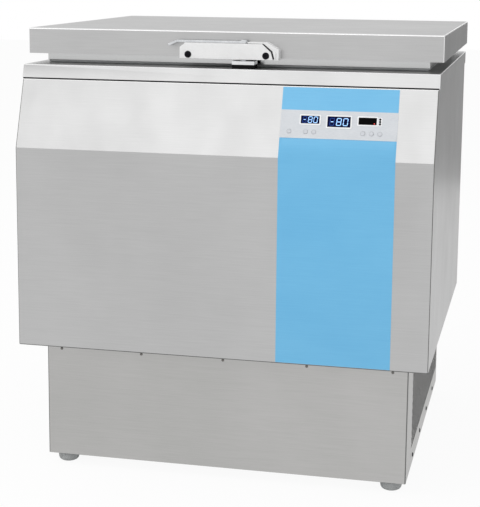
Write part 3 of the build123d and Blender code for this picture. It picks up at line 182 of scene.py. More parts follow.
# Lid: the same sheet with its grain from side to side, so the top mirrors the room in a long smear; its
# reflection is tinted a little darker than the casing's, a painted shade that dims the top seen at a low
# angle
casing_across = finish("lid_steel_ground_across", "B6B6B6", "C1C1C1", SHEET_TONE, SMEARS, ACROSS, 0.30, 0.40,
                       0.005, **{**METAL, "Specular Tint": srgb("DCDCDC")})
# Folds of the lid and the rim: a painted highlight, a thin bright line along the edge
fold_painted_highlight = finish("steel_fold_painted_highlight", "E8E8E8", "F4F4F4", SHEET_TONE, SMEARS, 4, 0.18, 0.26, 0.001,
                        **METAL)
# Folds of the cover and the base: a painted shade, a thin dark line along the edge
fold_painted_shade = finish("steel_fold_painted_shade", "686968", "767776", SHEET_TONE, SMEARS, 4, 0.36, 0.46, 0.001, **METAL)
# Inner tank: drawn and ground up and down, shinier, with upright streaks
tank_steel = finish("tank_steel_ground_upright", "B4B5B6", "C2C3C4", SHEET_TONE, SMEARS, UPRIGHT, 0.28, 0.36,
                    0.002, **METAL)
# Lid liner: polished sheet, blurred mirror of the tank
liner_steel = finish("lid_liner_steel_polished", "C0C1C1", "C8C8C8", SHEET_TONE, SMEARS, ACROSS, 0.12, 0.20,
                     0.003, **METAL)
# Hinge leaves: thick plate, deeper grain and dull finger marks
hinge_steel = finish("hinge_steel_ground", "A9AAAB", "BABABA", 90, 14, ACROSS, 0.28, 0.40, 0.008, **METAL)
# Hidden sheets: hot-dip galvanised, spangles of about 9 mm in differing greys
galvanised = finish("galvanised_steel", "8E9294", "B0B4B6", 60, 60, 9, 0.38, 0.55, 0.02, cells=True,
                    Metallic=0.9)
# Band: blue film bonded to the cover, an even colour with the sheet's grain faint under its gloss
blue_film = finish("pale_blue_film_on_steel", "66B6E3", "70BEE8", (160, 160, 110), (90, 90, 60), LEVEL,
                   0.30, 0.42, 0.008, **{"Coat Weight": 0.25, "Coat Roughness": 0.2})
# Keypad: pale grey polyester overlay, satin with a fine level embossing
grey_film = finish("pale_grey_keypad_film", "CDD1D6", "D8DBDF", 40, 20, (6, 6, 1.2), 0.38, 0.50, 0.01,
                   **{"Coat Weight": 0.1, "Coat Roughness": 0.3})
# Keys: the same overlay, embossed and slightly greyed by fingers
key_film = finish("embossed_key_film", "C8CBD0", "D3D6DB", 12, 3, 2, 0.38, 0.50, 0.01)
# Display frames: white gloss moulding with small soft highlights
white_gloss = finish("white_gloss_bezel_plastic", "EEF0F2", "F7F8F9", 20, 8, 0.5, 0.18, 0.28, 0.01)
# Display windows: navy acrylic, deep and nearly even, with a weak sheen
navy_glass = finish("navy_tinted_display_acrylic", "030830", "050C3A", 15, 9, 0.8, 0.30, 0.40, 0.002,
                    **{"Specular IOR Level": 0.04})
# Third window: unlit black acrylic, almost no sheen
black_glass = finish("black_tinted_display_acrylic", "020202", "040404", 15, 9, 0.8, 0.30, 0.40, 0.002,
                     **{"Specular IOR Level": 0.03})
# Lit segments: pale blue light, slightly uneven along each bar
lit_segment = finish("lit_pale_blue_segment", "7FB6F8", "B0D6FC", 2, 2, 1, 0.30, 0.40, 0.001, lit=0.75)
# Unlit segments: a dull blue ghost in the window
dim_segment = finish("unlit_segment", "2E4FA6", "3A5DB4", 2, 2, 1, 0.30, 0.40, 0.001,
                     **{"Specular IOR Level": 0.1})
# Red point: one small lit dot in the dark window
red_point = finish("lit_red_point", "F01820", "FF5A50", 1, 1, 0.5, 0.30, 0.40, 0.001, lit=0.7)
# Lamps: smoked lenses, unlit and nearly black
lamp_black = finish("smoked_lamp_lens", "020203", "060607", 3, 2, 0.6, 0.20, 0.30, 0.004,
                    **{"Specular IOR Level": 0.06})
# Walls of the punched holes: steel coloured nearly black, painted shade of the dark compartment behind them
bore_painted_shade = finish("hole_walls_painted_shade", "0C0D0E", "151718", 30, 6, 0.4, 0.55, 0.70, 0.01, **METAL)
# Black screws: oxidised steel, deep grey, worn shinier in places
black_oxide = finish("black_oxide_screw_steel", "141416", "26262A", 6, 4, 0.6, 0.35, 0.52, 0.01, **METAL)
# Screws along the front: steel in a dark warm grey
dull_steel = finish("dull_screw_steel", "6C6A67", "7E7C79", 6, 4, 0.6, 0.35, 0.52, 0.01, **METAL)
# Hinge screws and pins: zinc plate, light and slightly cloudy
zinc_plate = finish("zinc_plated_screw_steel", "A6A8AA", "C0C2C4", 9, 6, 0.6, 0.22, 0.38, 0.006, **METAL)
# Lever and spindle: satin chrome, bright with slightly duller patches
chrome = finish("satin_chromed_lever", "C6C8CB", "DCDEE0", 14, 9, (0.6, 0.6, 6), 0.22, 0.30, 0.002, **METAL)
# Striker: polished stainless, the brightest metal on the front
striker_steel = finish("polished_striker_steel", "DCDDDE", "E8E9EA", 14, 9, (6, 0.6, 0.6), 0.26, 0.36,
                       0.002, **METAL)
# Latch: white stove enamel with orange peel of about 1.2 mm and a soft sheen
latch_paint = finish("white_enamelled_latch", "E6E6E6", "F0F0F0", 22, 22, 1.2, 0.28, 0.40, 0.03)
# Feet: grey moulded nylon with a spark-eroded skin, matt and scuffed
foot_plastic = finish("grey_moulded_foot", "A2A4A4", "B4B6B6", 20, 8, 0.6, 0.50, 0.65, 0.04)
# Insulation: cut polyurethane foam, cream, with cells of about 1.4 mm
foam_cells = finish("cut_polyurethane_foam", "D9C489", "EBDDB0", 7, 5, 1.4, 0.75, 0.95, 0.3, cells=True)
# Breaker collar: vacuum-formed white sheet, smooth, its gloss slowly changing
liner_plastic = finish("white_formed_liner", "DFE2E4", "EAECED", 60, 25, 0.8, 0.30, 0.42, 0.02)
# Gasket: grey silicone, matt with a dusty bloom
gasket_rubber = finish("grey_silicone_gasket", "A2A4A5", "B2B4B5", 40, 8, 0.5, 0.45, 0.60, 0.03)
# Striker pad and compressor feet: black rubber, dull and nearly without sheen
pad_rubber = finish("black_rubber_pad", "050505", "0C0C0C", 12, 6, 0.5, 0.60, 0.75, 0.04,
                    **{"Specular IOR Level": 0.15})
# Compressors: black enamel over pressed steel, glossy with broad duller patches
compressor_paint = finish("black_enamelled_shell", "0D0D0E", "1B1B1C", 40, 22, 2.2, 0.25, 0.42, 0.06)
# Fan shroud: black powder coat, fine peel and satin
shroud_paint = finish("black_powder_coat", "151516", "242425", 40, 18, 1.4, 0.40, 0.56, 0.04)
# Fan motor: grey paint over a casting, a little rough
motor_paint = finish("grey_cast_motor_paint", "565859", "68696B", 20, 10, 1.6, 0.40, 0.56, 0.06)
# Electrical box: light grey powder coat
box_paint = finish("light_grey_box_paint", "B4B6B6", "C3C5C5", 50, 25, 1.4, 0.40, 0.50, 0.04)
# Fan blades: glass-filled nylon, black with a grey bloom from the fibres
fan_plastic = finish("black_glass_filled_fan", "131314", "222224", 20, 8, 0.6, 0.45, 0.60, 0.03)
# Mains inlet, rocker and the black sheet in the latch gap (its works and painted shade): black moulding,
# satin
black_plastic = finish("black_moulded_plastic", "101012", "1C1C1E", 12, 6, 0.5, 0.38, 0.52, 0.02)
# Control module tray: dark grey moulding
module_plastic = finish("dark_grey_module_tray", "383A3C", "48494B", 30, 10, 0.5, 0.45, 0.60, 0.03)
# Circuit board: green solder mask, glossy over traces of about a millimetre
board = finish("green_solder_mask", "195731", "25703F", 6, 12, 1.0, 0.28, 0.40, 0.03)
# Pipes, driers and coil: drawn copper, warm with brown handling stains
copper = finish("drawn_copper_tube", "A9583A", "CB815B", 30, 9, (0.6, 0.6, 5), 0.22, 0.42, 0.008, **METAL)
# Condenser fins: rolled aluminium, light with fine rolling lines
fin_metal = finish("rolled_fin_aluminium", "B2B5B8", "CCCFD2", 40, 12, (0.6, 0.6, 8), 0.25, 0.42, 0.006,
                   **METAL)


# Meshes

def place(mesh, name, material, body, replaced=()):
    """An object that holds a mesh, rides on a body and stands for CAD nodes."""
    piece = new_object(name, mesh)
    mesh.materials.clear()
    mesh.materials.append(material)
    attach(piece, body)
    if replaced:
        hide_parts(*replaced)
    return piece


def smooth(mesh, angle=35):
    mesh.shade_smooth()
    mesh.set_sharp_from_angle(angle=radians(angle))


def to_mesh(bm, matrix=None):
    """A finished mesh in metres from one drawn in millimetres."""
    bmesh.ops.transform(bm, matrix=millimetres @ (matrix or Matrix()), verts=bm.verts)
    bmesh.ops.recalc_face_normals(bm, faces=bm.faces)
    mesh = mesh_of(bm)
    smooth(mesh)
    return mesh


BROAD = 1500 * MM * MM          # a face larger than this is a side of the sheet, not its cut edge or fold
SQUARE = 0.985                  # the normal of a face that lies square to an axis has a part above this
HIGHLIGHT_FOLD_LOW = 770 * MM        # folds above this height get the painted highlight, from the top edge of the cover up; those below get the painted shade
SAME_POINT = 0.002 * MM
SAME_PLANE = radians(0.4)


def dress(node, material, edge=0.3, fold=0.0, angle=35):
    """Stands a cleaned copy of a CAD node in its place, its sharp edges broken by a width.

    Where a fold radius is given, the outer edges between broad faces are rounded to it first, and small
    slanting faces get a painted highlight high up and a painted shade lower down."""
    bm = bmesh.new()
    bm.from_mesh(nodes[node].data)
    bmesh.ops.remove_doubles(bm, verts=bm.verts, dist=SAME_POINT)
    bmesh.ops.dissolve_limit(bm, angle_limit=SAME_PLANE, verts=bm.verts, edges=bm.edges)
    for radius, least, segments in ((fold, BROAD, 3), (edge, 0.0, 2)):
        sharp = [e for e in bm.edges if len(e.link_faces) == 2 and e.calc_face_angle() > radians(angle)
                 and min(face.calc_area() for face in e.link_faces) > least and (e.is_convex or not least)]
        if radius and sharp:
            bmesh.ops.bevel(bm, geom=sharp, offset=radius * MM, segments=segments, profile=0.5,
                            affect="EDGES", clamp_overlap=True)
    mesh = mesh_of(bm, node)
    smooth(mesh, angle)
    piece = place(mesh, f"{node}_finished", material, nodes[node]["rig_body"], [node])
    # Fold faces: small slanting faces high up take a painted highlight, lower ones a painted shade
    if fold:
        mesh.materials.append(fold_painted_highlight)
        mesh.materials.append(fold_painted_shade)
        for face in mesh.polygons:
            if face.area < BROAD and max(abs(part) for part in face.normal) < SQUARE:
                face.material_index = 1 if face.center.z > HIGHLIGHT_FOLD_LOW else 2
    even = piece.modifiers.new("even_shading", "WEIGHTED_NORMAL")
    even.keep_sharp = True
    return piece


def bridge(bm, rings):
    """Faces between each two neighbouring rings of vertices, where a ring may be a single one."""
    for lower, upper in zip(rings, rings[1:]):
        count = max(len(lower), len(upper))
        for i in range(count):
            j = (i + 1) % count
            corners = (lower[i % len(lower)], lower[j % len(lower)], upper[j % len(upper)],
                       upper[i % len(upper)])
            bm.faces.new(list(dict.fromkeys(corners)))


def close_ends(bm, rings):
    bm.faces.new(rings[-1])
    bm.faces.new(list(reversed(rings[0])))


def lathe(profile, steps=48, hollow=False):
    """A solid of revolution about Z from radius and height pairs; where hollow, the last joins the first."""
    bm = bmesh.new()
    rings = []
    for radius, height in profile:
        turns = [2 * pi * i / steps for i in range(steps if radius else 1)]
        rings.append([bm.verts.new((radius * cos(turn), radius * sin(turn), height)) for turn in turns])
    bridge(bm, rings + rings[:1] if hollow else rings)
    return bm


def add_box(bm, low, high):
    made = bmesh.ops.create_cube(bm, size=1.0)
    middle = [(a + b) / 2 for a, b in zip(low, high)]
    bmesh.ops.scale(bm, vec=[b - a for a, b in zip(low, high)], verts=made["verts"])
    bmesh.ops.translate(bm, vec=middle, verts=made["verts"])


def corner_loop(bm, half_x, half_y, radius, level, steps):
    """A ring of vertices round a rectangle with round corners."""
    loop = []
    for corner in range(4):
        sign_x = 1 if corner in (0, 3) else -1
        sign_y = 1 if corner in (0, 1) else -1
        for i in range(steps + 1):
            turn = pi / 2 * (corner + i / steps)
            loop.append(bm.verts.new((
                sign_x * (half_x - radius) + radius * cos(turn),
                sign_y * (half_y - radius) + radius * sin(turn),
                level,
            )))
    return loop


def rounded_plate(width, height, radius, low, high, edge):
    """A plate with round corners between two heights, its top edge broken."""
    bm = bmesh.new()
    loops = [corner_loop(bm, width / 2 - inset, height / 2 - inset, radius - inset, level, 5)
             for level, inset in ((low, 0), (high - edge, 0), (high, edge))]
    bridge(bm, loops)
    close_ends(bm, loops)
    return bm


def frame_ring(width, height, border, radius, low, high, edge=0.25):
    """A picture-frame ring with round corners, tighter inside, both top edges broken."""
    bm = bmesh.new()
    loops = []
    for grow, level, shift in ((border, low, 0), (border, high - edge, 0), (border, high, -edge),
                               (0, high, edge), (0, high - edge, 0), (0, low, 0)):
        corner = (radius if grow else radius * 0.4) + shift
        loops.append(corner_loop(bm, width / 2 + grow + shift, height / 2 + grow + shift, corner, level, 4))
    bridge(bm, loops + loops[:1])
    return bm


# Geometry Nodes

def new_group(name, sockets):
    group = bpy.data.node_groups.new(name, "GeometryNodeTree")
    group.interface.new_socket("Geometry", in_out="INPUT", socket_type="NodeSocketGeometry")
    for label, kind in sockets:
        group.interface.new_socket(label, in_out="INPUT", socket_type=kind)
    group.interface.new_socket("Geometry", in_out="OUTPUT", socket_type="NodeSocketGeometry")
    return group, add(group, "NodeGroupInput")


def end_group(group, copies, material):
    """Makes copies real and gives them their finish."""
    real = add(group, "GeometryNodeRealizeInstances", {"Geometry": copies})
    finished = add(group, "GeometryNodeSetMaterial", {"Geometry": real.outputs[0], "Material": material})
    add(group, "NodeGroupOutput", {"Geometry": finished.outputs[0]})
    return group


def repeat_group():
    """Copies the object's own mesh to the points of another object, each turned to face along its normal."""
    group, given = new_group("repeat_at_places", [
        ("Places", "NodeSocketObject"), ("Finish", "NodeSocketMaterial")])
    places = add(group, "GeometryNodeObjectInfo", {"Object": given.outputs["Places"]})
    facing = add(group, "GeometryNodeInputNamedAttribute", {"Name": "facing"}, data_type="FLOAT_VECTOR")
    turned = add(group, "FunctionNodeAlignRotationToVector", {"Vector": facing.outputs[0]}, axis="Z")
    copies = add(group, "GeometryNodeInstanceOnPoints", {
        "Points": places.outputs["Geometry"],
        "Instance": given.outputs["Geometry"],
        "Rotation": turned.outputs[0],
    })
    return end_group(group, copies.outputs[0], given.outputs["Finish"])


def lattice_group():
    """Copies the object's own mesh, one cell, in staggered rows along X and Y.

    Every second row is shifted by half a pitch and is one cell shorter."""
    group, given = new_group("staggered_cells", [
        ("Columns", "NodeSocketInt"), ("Rows", "NodeSocketInt"), ("Width", "NodeSocketFloat"),
        ("Height", "NodeSocketFloat"), ("Half Pitch", "NodeSocketFloat"), ("Last Column", "NodeSocketInt"),
        ("Finish", "NodeSocketMaterial"),
    ])
    grid = add(group, "GeometryNodeMeshGrid", {
        "Size X": given.outputs["Width"], "Size Y": given.outputs["Height"],
        "Vertices X": given.outputs["Columns"], "Vertices Y": given.outputs["Rows"],
    })
    index = add(group, "GeometryNodeInputIndex").outputs[0]
    row = add(group, "ShaderNodeMath", {0: index, 1: given.outputs["Rows"]}, operation="MODULO").outputs[0]
    odd = add(group, "ShaderNodeMath", {0: row, 1: 2.0}, operation="MODULO").outputs[0]
    last = add(group, "ShaderNodeMath", {0: index, 1: given.outputs["Last Column"]},
               operation="GREATER_THAN").outputs[0]
    spare = add(group, "ShaderNodeMath", {0: odd, 1: last}, operation="MULTIPLY").outputs[0]
    shift = add(group, "ShaderNodeMath", {0: odd, 1: given.outputs["Half Pitch"]},
                operation="MULTIPLY").outputs[0]
    offset = add(group, "ShaderNodeCombineXYZ", {"X": shift}).outputs[0]
    moved_on = add(group, "GeometryNodeSetPosition", {"Geometry": grid.outputs["Mesh"], "Offset": offset})
    kept = add(group, "GeometryNodeDeleteGeometry", {"Geometry": moved_on.outputs[0], "Selection": spare},
               domain="POINT")
    copies = add(group, "GeometryNodeInstanceOnPoints", {
        "Points": kept.outputs[0], "Instance": given.outputs["Geometry"]})
    return end_group(group, copies.outputs[0], given.outputs["Finish"])


repeat_at_places = repeat_group()
staggered_cells = lattice_group()


def as_meant(source):
    """The mesh of an object with its modifiers carried out, as a plain mesh; the object goes."""
    bpy.context.view_layer.update()
    mesh = bpy.data.meshes.new_from_object(source.evaluated_get(bpy.context.evaluated_depsgraph_get()))
    bpy.data.objects.remove(source)
    return mesh


def grown(mesh, group, values):
    """The mesh that a geometry node group makes from a mesh."""
    source = new_object("source", mesh)
    modifier = source.modifiers.new("grow", "NODES")
    modifier.node_group = group
    for item in group.interface.items_tree:
        if item.item_type == "SOCKET" and item.in_out == "INPUT" and item.name in values:
            modifier[item.identifier] = values[item.name]
    return as_meant(source)


def repeated(mesh, places, material):
    """Copies of a mesh at places, each a point and a direction, in millimetres."""
    points = bpy.data.meshes.new("places")
    points.from_pydata([Vector(point) * MM for point, _ in places], [], [])
    facing = points.attributes.new("facing", "FLOAT_VECTOR", "POINT")
    for i, (_, direction) in enumerate(places):
        facing.data[i].vector = direction
    holder = new_object("places", points)
    result = grown(mesh, repeat_at_places, {"Places": holder, "Finish": material})
    bpy.data.objects.remove(holder)
    return result


# Perforated side panels: a plain border round a field of staggered holes, drawn coarser than the real
# ones, which are too fine to show
HOLE_PITCH = 8.4
ROW_PITCH = 7.3
HOLE = 3.7
COLUMNS = 68
ROWS = 25
FIELD_NEAR = PANEL_NEAR + 13.0
FIELD_FAR = FIELD_NEAR + COLUMNS * HOLE_PITCH
FIELD_LOW = PANEL_LOW + 38.0
FIELD_HIGH = FIELD_LOW + ROWS * ROW_PITCH
BORE_AREA = 6 * MM * MM         # larger than one face of a bore, smaller than any edge of the border


def hole_cell():
    """One rectangle of sheet with a round hole, drawn in its own plane with the outer face up."""
    bm = bmesh.new()
    sides = ((1, 0), (1, 1), (0, 1), (-1, 1), (-1, 0), (-1, -1), (0, -1), (1, -1))
    rings = []
    for level in (0, -SHEET):
        outer = [bm.verts.new((x * HOLE_PITCH / 2, y * ROW_PITCH / 2, level)) for x, y in sides]
        inner = [bm.verts.new((HOLE * cos(pi / 4 * i), HOLE * sin(pi / 4 * i), level)) for i in range(8)]
        rings.append((outer, inner))
    (top_outer, top_inner), (low_outer, low_inner) = rings
    for i in range(8):
        j = (i + 1) % 8
        bm.faces.new((top_outer[i], top_outer[j], top_inner[j], top_inner[i]))
        bm.faces.new((low_inner[i], low_inner[j], low_outer[j], low_outer[i]))
        bm.faces.new((top_inner[i], top_inner[j], low_inner[j], low_inner[i]))
    bmesh.ops.scale(bm, vec=(MM, MM, MM), verts=bm.verts)
    return mesh_of(bm, "cell")


# The border, and the half cells that fill both ends of each second row, as near, low, far and high
border = [
    (PANEL_NEAR, PANEL_LOW, PANEL_FAR, FIELD_LOW),
    (PANEL_NEAR, FIELD_HIGH, PANEL_FAR, PANEL_HIGH),
    (PANEL_NEAR, FIELD_LOW, FIELD_NEAR, FIELD_HIGH),
    (FIELD_FAR, FIELD_LOW, PANEL_FAR, FIELD_HIGH),
]
for row in range(1, ROWS, 2):
    low = FIELD_LOW + row * ROW_PITCH
    border.append((FIELD_NEAR, low, FIELD_NEAR + HOLE_PITCH / 2, low + ROW_PITCH))
    border.append((FIELD_FAR - HOLE_PITCH / 2, low, FIELD_FAR, low + ROW_PITCH))

for side, outward in (("left", -1), ("right", 1)):
    # Drawn with X along the panel, Y up and Z outwards
    field = grown(hole_cell(), staggered_cells, {
        "Columns": COLUMNS, "Rows": ROWS, "Width": (COLUMNS - 1) * HOLE_PITCH * MM,
        "Height": (ROWS - 1) * ROW_PITCH * MM, "Half Pitch": HOLE_PITCH / 2 * MM,
        "Last Column": (COLUMNS - 1) * ROWS - 1, "Finish": base_steel,
    })
    bm = bmesh.new()
    bm.from_mesh(field)
    bmesh.ops.scale(bm, vec=(1 / MM, 1 / MM, 1 / MM), verts=bm.verts)
    middle = ((FIELD_NEAR + FIELD_FAR) / 2, (FIELD_LOW + FIELD_HIGH) / 2, 0)
    bmesh.ops.translate(bm, vec=middle, verts=bm.verts)
    for near, low, far, high in border:
        add_box(bm, (near, low, -SHEET), (far, high, 0))
    panel = Matrix((
        (0, 0, outward, outward * BASE_HALF),
        (1, 0, 0, 0),
        (0, 1, 0, 0),
        (0, 0, 0, 1),
    ))
    bmesh.ops.transform(bm, matrix=millimetres @ panel, verts=bm.verts)
    if outward < 0:
        bmesh.ops.reverse_faces(bm, faces=bm.faces)
    name = f"perforated_panel_{side}"
    mesh = mesh_of(bm, name)
    place(mesh, name, base_steel, "cabinet", [f"grille_panel_{side}"])
    mesh.materials.append(bore_painted_shade)
    # Faces inside the holes take the painted shade
    for face in mesh.polygons:
        if abs(face.normal.x) < 0.5 and face.area < BORE_AREA:
            face.material_index = 1


# Screws with a cross recess, on the base and on the hinge leaves
def cross_screw(radius, height):
    head = lathe([(0, 0), (radius, 0), (radius, height * 0.3), (radius * 0.9, height * 0.62),
                  (radius * 0.66, height * 0.9), (radius * 0.4, height), (0, height)], 24)
    recess = bmesh.new()
    for half_x, half_y in ((radius * 0.5, radius * 0.13), (radius * 0.13, radius * 0.5)):
        add_box(recess, (-half_x, -half_y, height * 0.35), (half_x, half_y, height * 2))
    solid, tool = [new_object("solid", to_mesh(bm)) for bm in (head, recess)]
    cut = solid.modifiers.new("cut", "BOOLEAN")
    cut.operation = "DIFFERENCE"
    cut.object = tool
    mesh = as_meant(solid)
    bpy.data.objects.remove(tool)
    smooth(mesh, 30)
    return mesh


FRONT_SCREWS = [((-330 + 165 * i, FRONT + 50, 241), (0, -1, 0)) for i in range(5)]
SIDE_SCREWS = [((side * BASE_HALF, FRONT + 175 + 148 * i, 37), (side, 0, 0))
               for side in (-1, 1) for i in range(4)]
LEAF_SCREWS = [
    ((hinge + offset, FRONT + 759, 705 + rise), (0, 1, 0))
    for hinge in (-250, 250) for offset in (-30, 30) for rise in (14.8, 48.1)
]
for name, radius, height, places, material, slot, replaced in (
    ("side_panel_screws", 4.5, 1.8, SIDE_SCREWS, black_oxide, "screw_black", "base_screws"),
    ("front_panel_screws", 2.8, 1.2, FRONT_SCREWS, dull_steel, "screw_black", "base_screws"),
    ("hinge_screw_heads", 4.5, 1.8, LEAF_SCREWS, zinc_plate, "screw_steel", "hinge_screws"),
):
    heads = repeated(cross_screw(radius, height), places, material)
    place(heads, name, material, "cabinet", [replaced])

# Feet: turned pads with a groove under the top flange and a threaded stud
FOOT_TOP = 22.0
STUD_TOP = FOOT_TOP + 15.5
foot_profile = [(0, 0), (13.6, 0), (15.4, 0.5), (17.8, 1.9), (19.6, 4.1), (20.6, 6.9), (21.0, 10.0),
                (21.0, 16.5), (20.5, 17.2), (20.5, 17.9), (21.0, 18.6), (21.0, 21.4), (20.4, FOOT_TOP),
                (5.0, FOOT_TOP)]
foot_profile += [(4.4 if i % 2 == 0 else 5.0, FOOT_TOP + 1 + i) for i in range(13)]
foot_profile += [(4.2, STUD_TOP), (0, STUD_TOP)]
FOOT_PLACES = [((x, FRONT + y, 0), (0, 0, 1)) for x in (-329, 329) for y in (82, 698)]
feet = repeated(to_mesh(lathe(foot_profile, 64)), FOOT_PLACES, foot_plastic)
place(feet, "turned_feet", foot_plastic, "cabinet", ["feet"])

# Displays on the slanted face: windows, bezels, seven-segment figures, lamps
DISPLAYS = (
    ("small", 37.8, 72.4, 66.8, 81.6, navy_glass, 0.74),
    ("large", 87.2, 129.9, 61.7, 81.5, navy_glass, 0.66),
    ("dark", 144.5, 177.8, 67.8, 81.2, black_glass, 0.0),
)
SEGMENTS = {"8": "abcdefg", "0": "abcdef", "-": "g"}


def on_slope(x, v, n=0.0):
    return slope_frame @ Matrix.Translation((x, v, n))


def add_segment(bm, start, end, thick, low, high, slant, corner):
    """One bar of a figure, pointed at both ends."""
    along = (Vector(end) - Vector(start)).normalized()
    half = thick / 2
    side = Vector((-along.y, along.x)) * half
    a = Vector(start) + along * thick * 0.12
    b = Vector(end) - along * thick * 0.12
    outline = [a, a + along * half + side, b - along * half + side, b, b - along * half - side,
               a + along * half - side]
    rings = [[bm.verts.new((corner[0] + p.x + slant * p.y, corner[1] + p.y, level)) for p in outline]
             for level in (low, high)]
    bridge(bm, rings)
    close_ends(bm, rings)


def figure(bm, names, corner, width, height, thick, low, high, slant=0.09):
    """The named bars of a seven-segment figure, between two levels."""
    lines = {
        "a": ((0, height), (width, height)), "b": ((width, height), (width, height / 2)),
        "c": ((width, height / 2), (width, 0)), "d": ((0, 0), (width, 0)), "e": ((0, 0), (0, height / 2)),
        "f": ((0, height / 2), (0, height)), "g": ((0, height / 2), (width, height / 2)),
    }
    for name in names:
        add_segment(bm, *lines[name], thick, low, high, slant, corner)


WINDOW_TOP = FASCIA_TOP + 0.4
for name, left, right, low, high, glass, digit_share in DISPLAYS:
    width, height = right - left, high - low
    centre = (BAND_LEFT + (left + right) / 2, (low + high) / 2)
    window = rounded_plate(width - 0.1, height - 0.1, 0.6, FASCIA_TOP - 5.0, WINDOW_TOP, 0.15)
    place(to_mesh(window, on_slope(*centre)), f"display_window_{name}", glass, "cabinet",
          ["display_windows"])
    ring = frame_ring(width, height, 2.4, 1.6, FASCIA_TOP, FASCIA_TOP + 0.8)
    place(to_mesh(ring, on_slope(*centre)), f"display_bezel_{name}", white_gloss, "cabinet",
          ["display_bezels"])
    if not digit_share:
        point = lathe([(0, 0), (1.0, 0), (0.9, 0.12), (0, 0.15)], 20)
        spot = on_slope(centre[0] + width * 0.37, centre[1] - height * 0.33, WINDOW_TOP)
        place(to_mesh(point, spot), "display_red_point", red_point, "cabinet")
        continue
    tall = height * digit_share
    wide = tall * 0.6
    thick = tall * 0.11
    lit, unlit = bmesh.new(), bmesh.new()
    lit_level = (WINDOW_TOP, WINDOW_TOP + 0.05)
    unlit_level = (WINDOW_TOP, WINDOW_TOP + 0.03)
    for index, text in enumerate("-80"):
        left_edge = -width / 2 + width * (0.10 + 0.29 * index)
        corner = (left_edge, -tall / 2)
        if text == "-":
            dash = (left_edge + wide * 0.1, -tall / 2)
            figure(lit, SEGMENTS[text], dash, wide * 0.75, tall, thick, *lit_level)
            figure(unlit, "abcdef", corner, wide * 0.95, tall, thick * 0.6, *unlit_level)
        else:
            figure(lit, SEGMENTS[text], corner, wide, tall, thick, *lit_level)
    for bm, kind, material in ((lit, "figures", lit_segment), (unlit, "ghosts", dim_segment)):
        place(to_mesh(bm, on_slope(*centre)), f"display_{kind}_{name}", material, "cabinet")

LAMP_X = BAND_LEFT + 183.7
LAMPS = [(slope_frame @ Vector((LAMP_X, v, 0)), slope_frame.to_3x3() @ Vector((0, 0, 1)))
         for v in (69.8, 74.2, 78.6)]
lens = lathe([(0, -5.9), (1.5, -5.9), (1.5, FASCIA_TOP), (2.15, FASCIA_TOP), (2.05, FASCIA_TOP + 0.2),
              (1.4, FASCIA_TOP + 0.4), (0, FASCIA_TOP + 0.45)], 20)
place(repeated(to_mesh(lens), LAMPS, lamp_black), "lamp_lenses", lamp_black, "cabinet",
      ["indicator_lamps"])
lamp_strip = rounded_plate(7.0, 15.0, 1.5, FASCIA_TOP, FASCIA_TOP + 0.08, 0.03)
place(to_mesh(lamp_strip, on_slope(LAMP_X + 0.2, 74.2)), "lamp_strip", white_gloss, "cabinet")

# Painted shade of the joint: a strip in the black rubber finish over the gap between the cover and the rim
# above it, a dark line
gap_shade_strip = bmesh.new()
add_box(gap_shade_strip, (-400.0, 137.9, -2.5), (400.0, 139.9, 0.06))
place(to_mesh(gap_shade_strip, slope_frame), "cover_joint_strip", pad_rubber, "cabinet")


def front_outline(points, near, far):
    """A plate drawn from the front as X and Z points, between two Y levels."""
    bm = bmesh.new()
    rings = [[bm.verts.new((x, y, z)) for x, z in points] for y in (near, far)]
    bridge(bm, rings)
    close_ends(bm, rings)
    return bm


# Latch: a black sheet behind the gap at the right end of the cover plate, standing for the black works and
# for painted shade in the gap, the top wall of the housing, and the white lip that narrows the gap
for name, points, near, far, material, slot in (
    ("latch_works", [(55, 824), (91.5, 824), (91.5, 837), (69, 852.2), (55, 852.2)], -316.9, -315.6,
     black_plastic, "inlet_black"),
    ("latch_top_wall", [(-83.5, 843), (37, 843), (37, 851.6), (34, 852.2), (-83.5, 852.2)], -316.9, -315.4,
     latch_paint, "latch_white"),
    ("latch_rim_lip", [(73, 850.5), (87.2, 839), (91.0, 824.8), (91.2, 822.1), (92.8, 822.1), (92.8, 837)],
     -319.4, -317.0, latch_paint, "latch_white"),
):
    place(to_mesh(front_outline(points, near, far)), name, material, "lid")


# Condenser fan: five twisted blades on a domed hub
FAN = Vector((272.0, FRONT + 400, 138.0))


def fan_rotor():
    bm = lathe([(4.05, -14), (24, -14), (24, 11), (22, 13.4), (18, 14), (4.05, 14)], 48, hollow=True)
    stations = 7
    for blade in range(5):
        turn = Matrix.Rotation(2 * pi * blade / 5, 4, "Z")
        rings = []
        for i in range(stations):
            share = i / (stations - 1)
            radius = 22.5 + share * 55.0
            pitch = radians(46 - 22 * share)
            chord = 34 + 20 * share - 10 * share ** 4
            lead = 0.16 * share ** 2
            ring = []
            for side in (1, -1):
                for j in range(5):
                    t = j / 4 if side == 1 else 1 - j / 4
                    offset = (t - 0.5) * chord
                    bulge = side * (0.9 * (1 - (2 * t - 1) ** 4) + 0.2)
                    camber = 2.6 * (1 - (2 * t - 1) ** 2) + bulge
                    angle = (offset * cos(pitch) - camber * sin(pitch)) / radius + lead
                    z = max(-13.5, min(13.5, offset * sin(pitch) + camber * cos(pitch)))
                    ring.append(bm.verts.new(turn @ Vector((radius * cos(angle), radius * sin(angle), z))))
            rings.append(ring)
        bridge(bm, rings)
        close_ends(bm, rings)
    return to_mesh(bm, Matrix.Translation(FAN) @ Matrix.Rotation(pi / 2, 4, "Y"))


place(fan_rotor(), "twisted_blade_fan", fan_plastic, "fan_rotor", ["fan_rotor"])

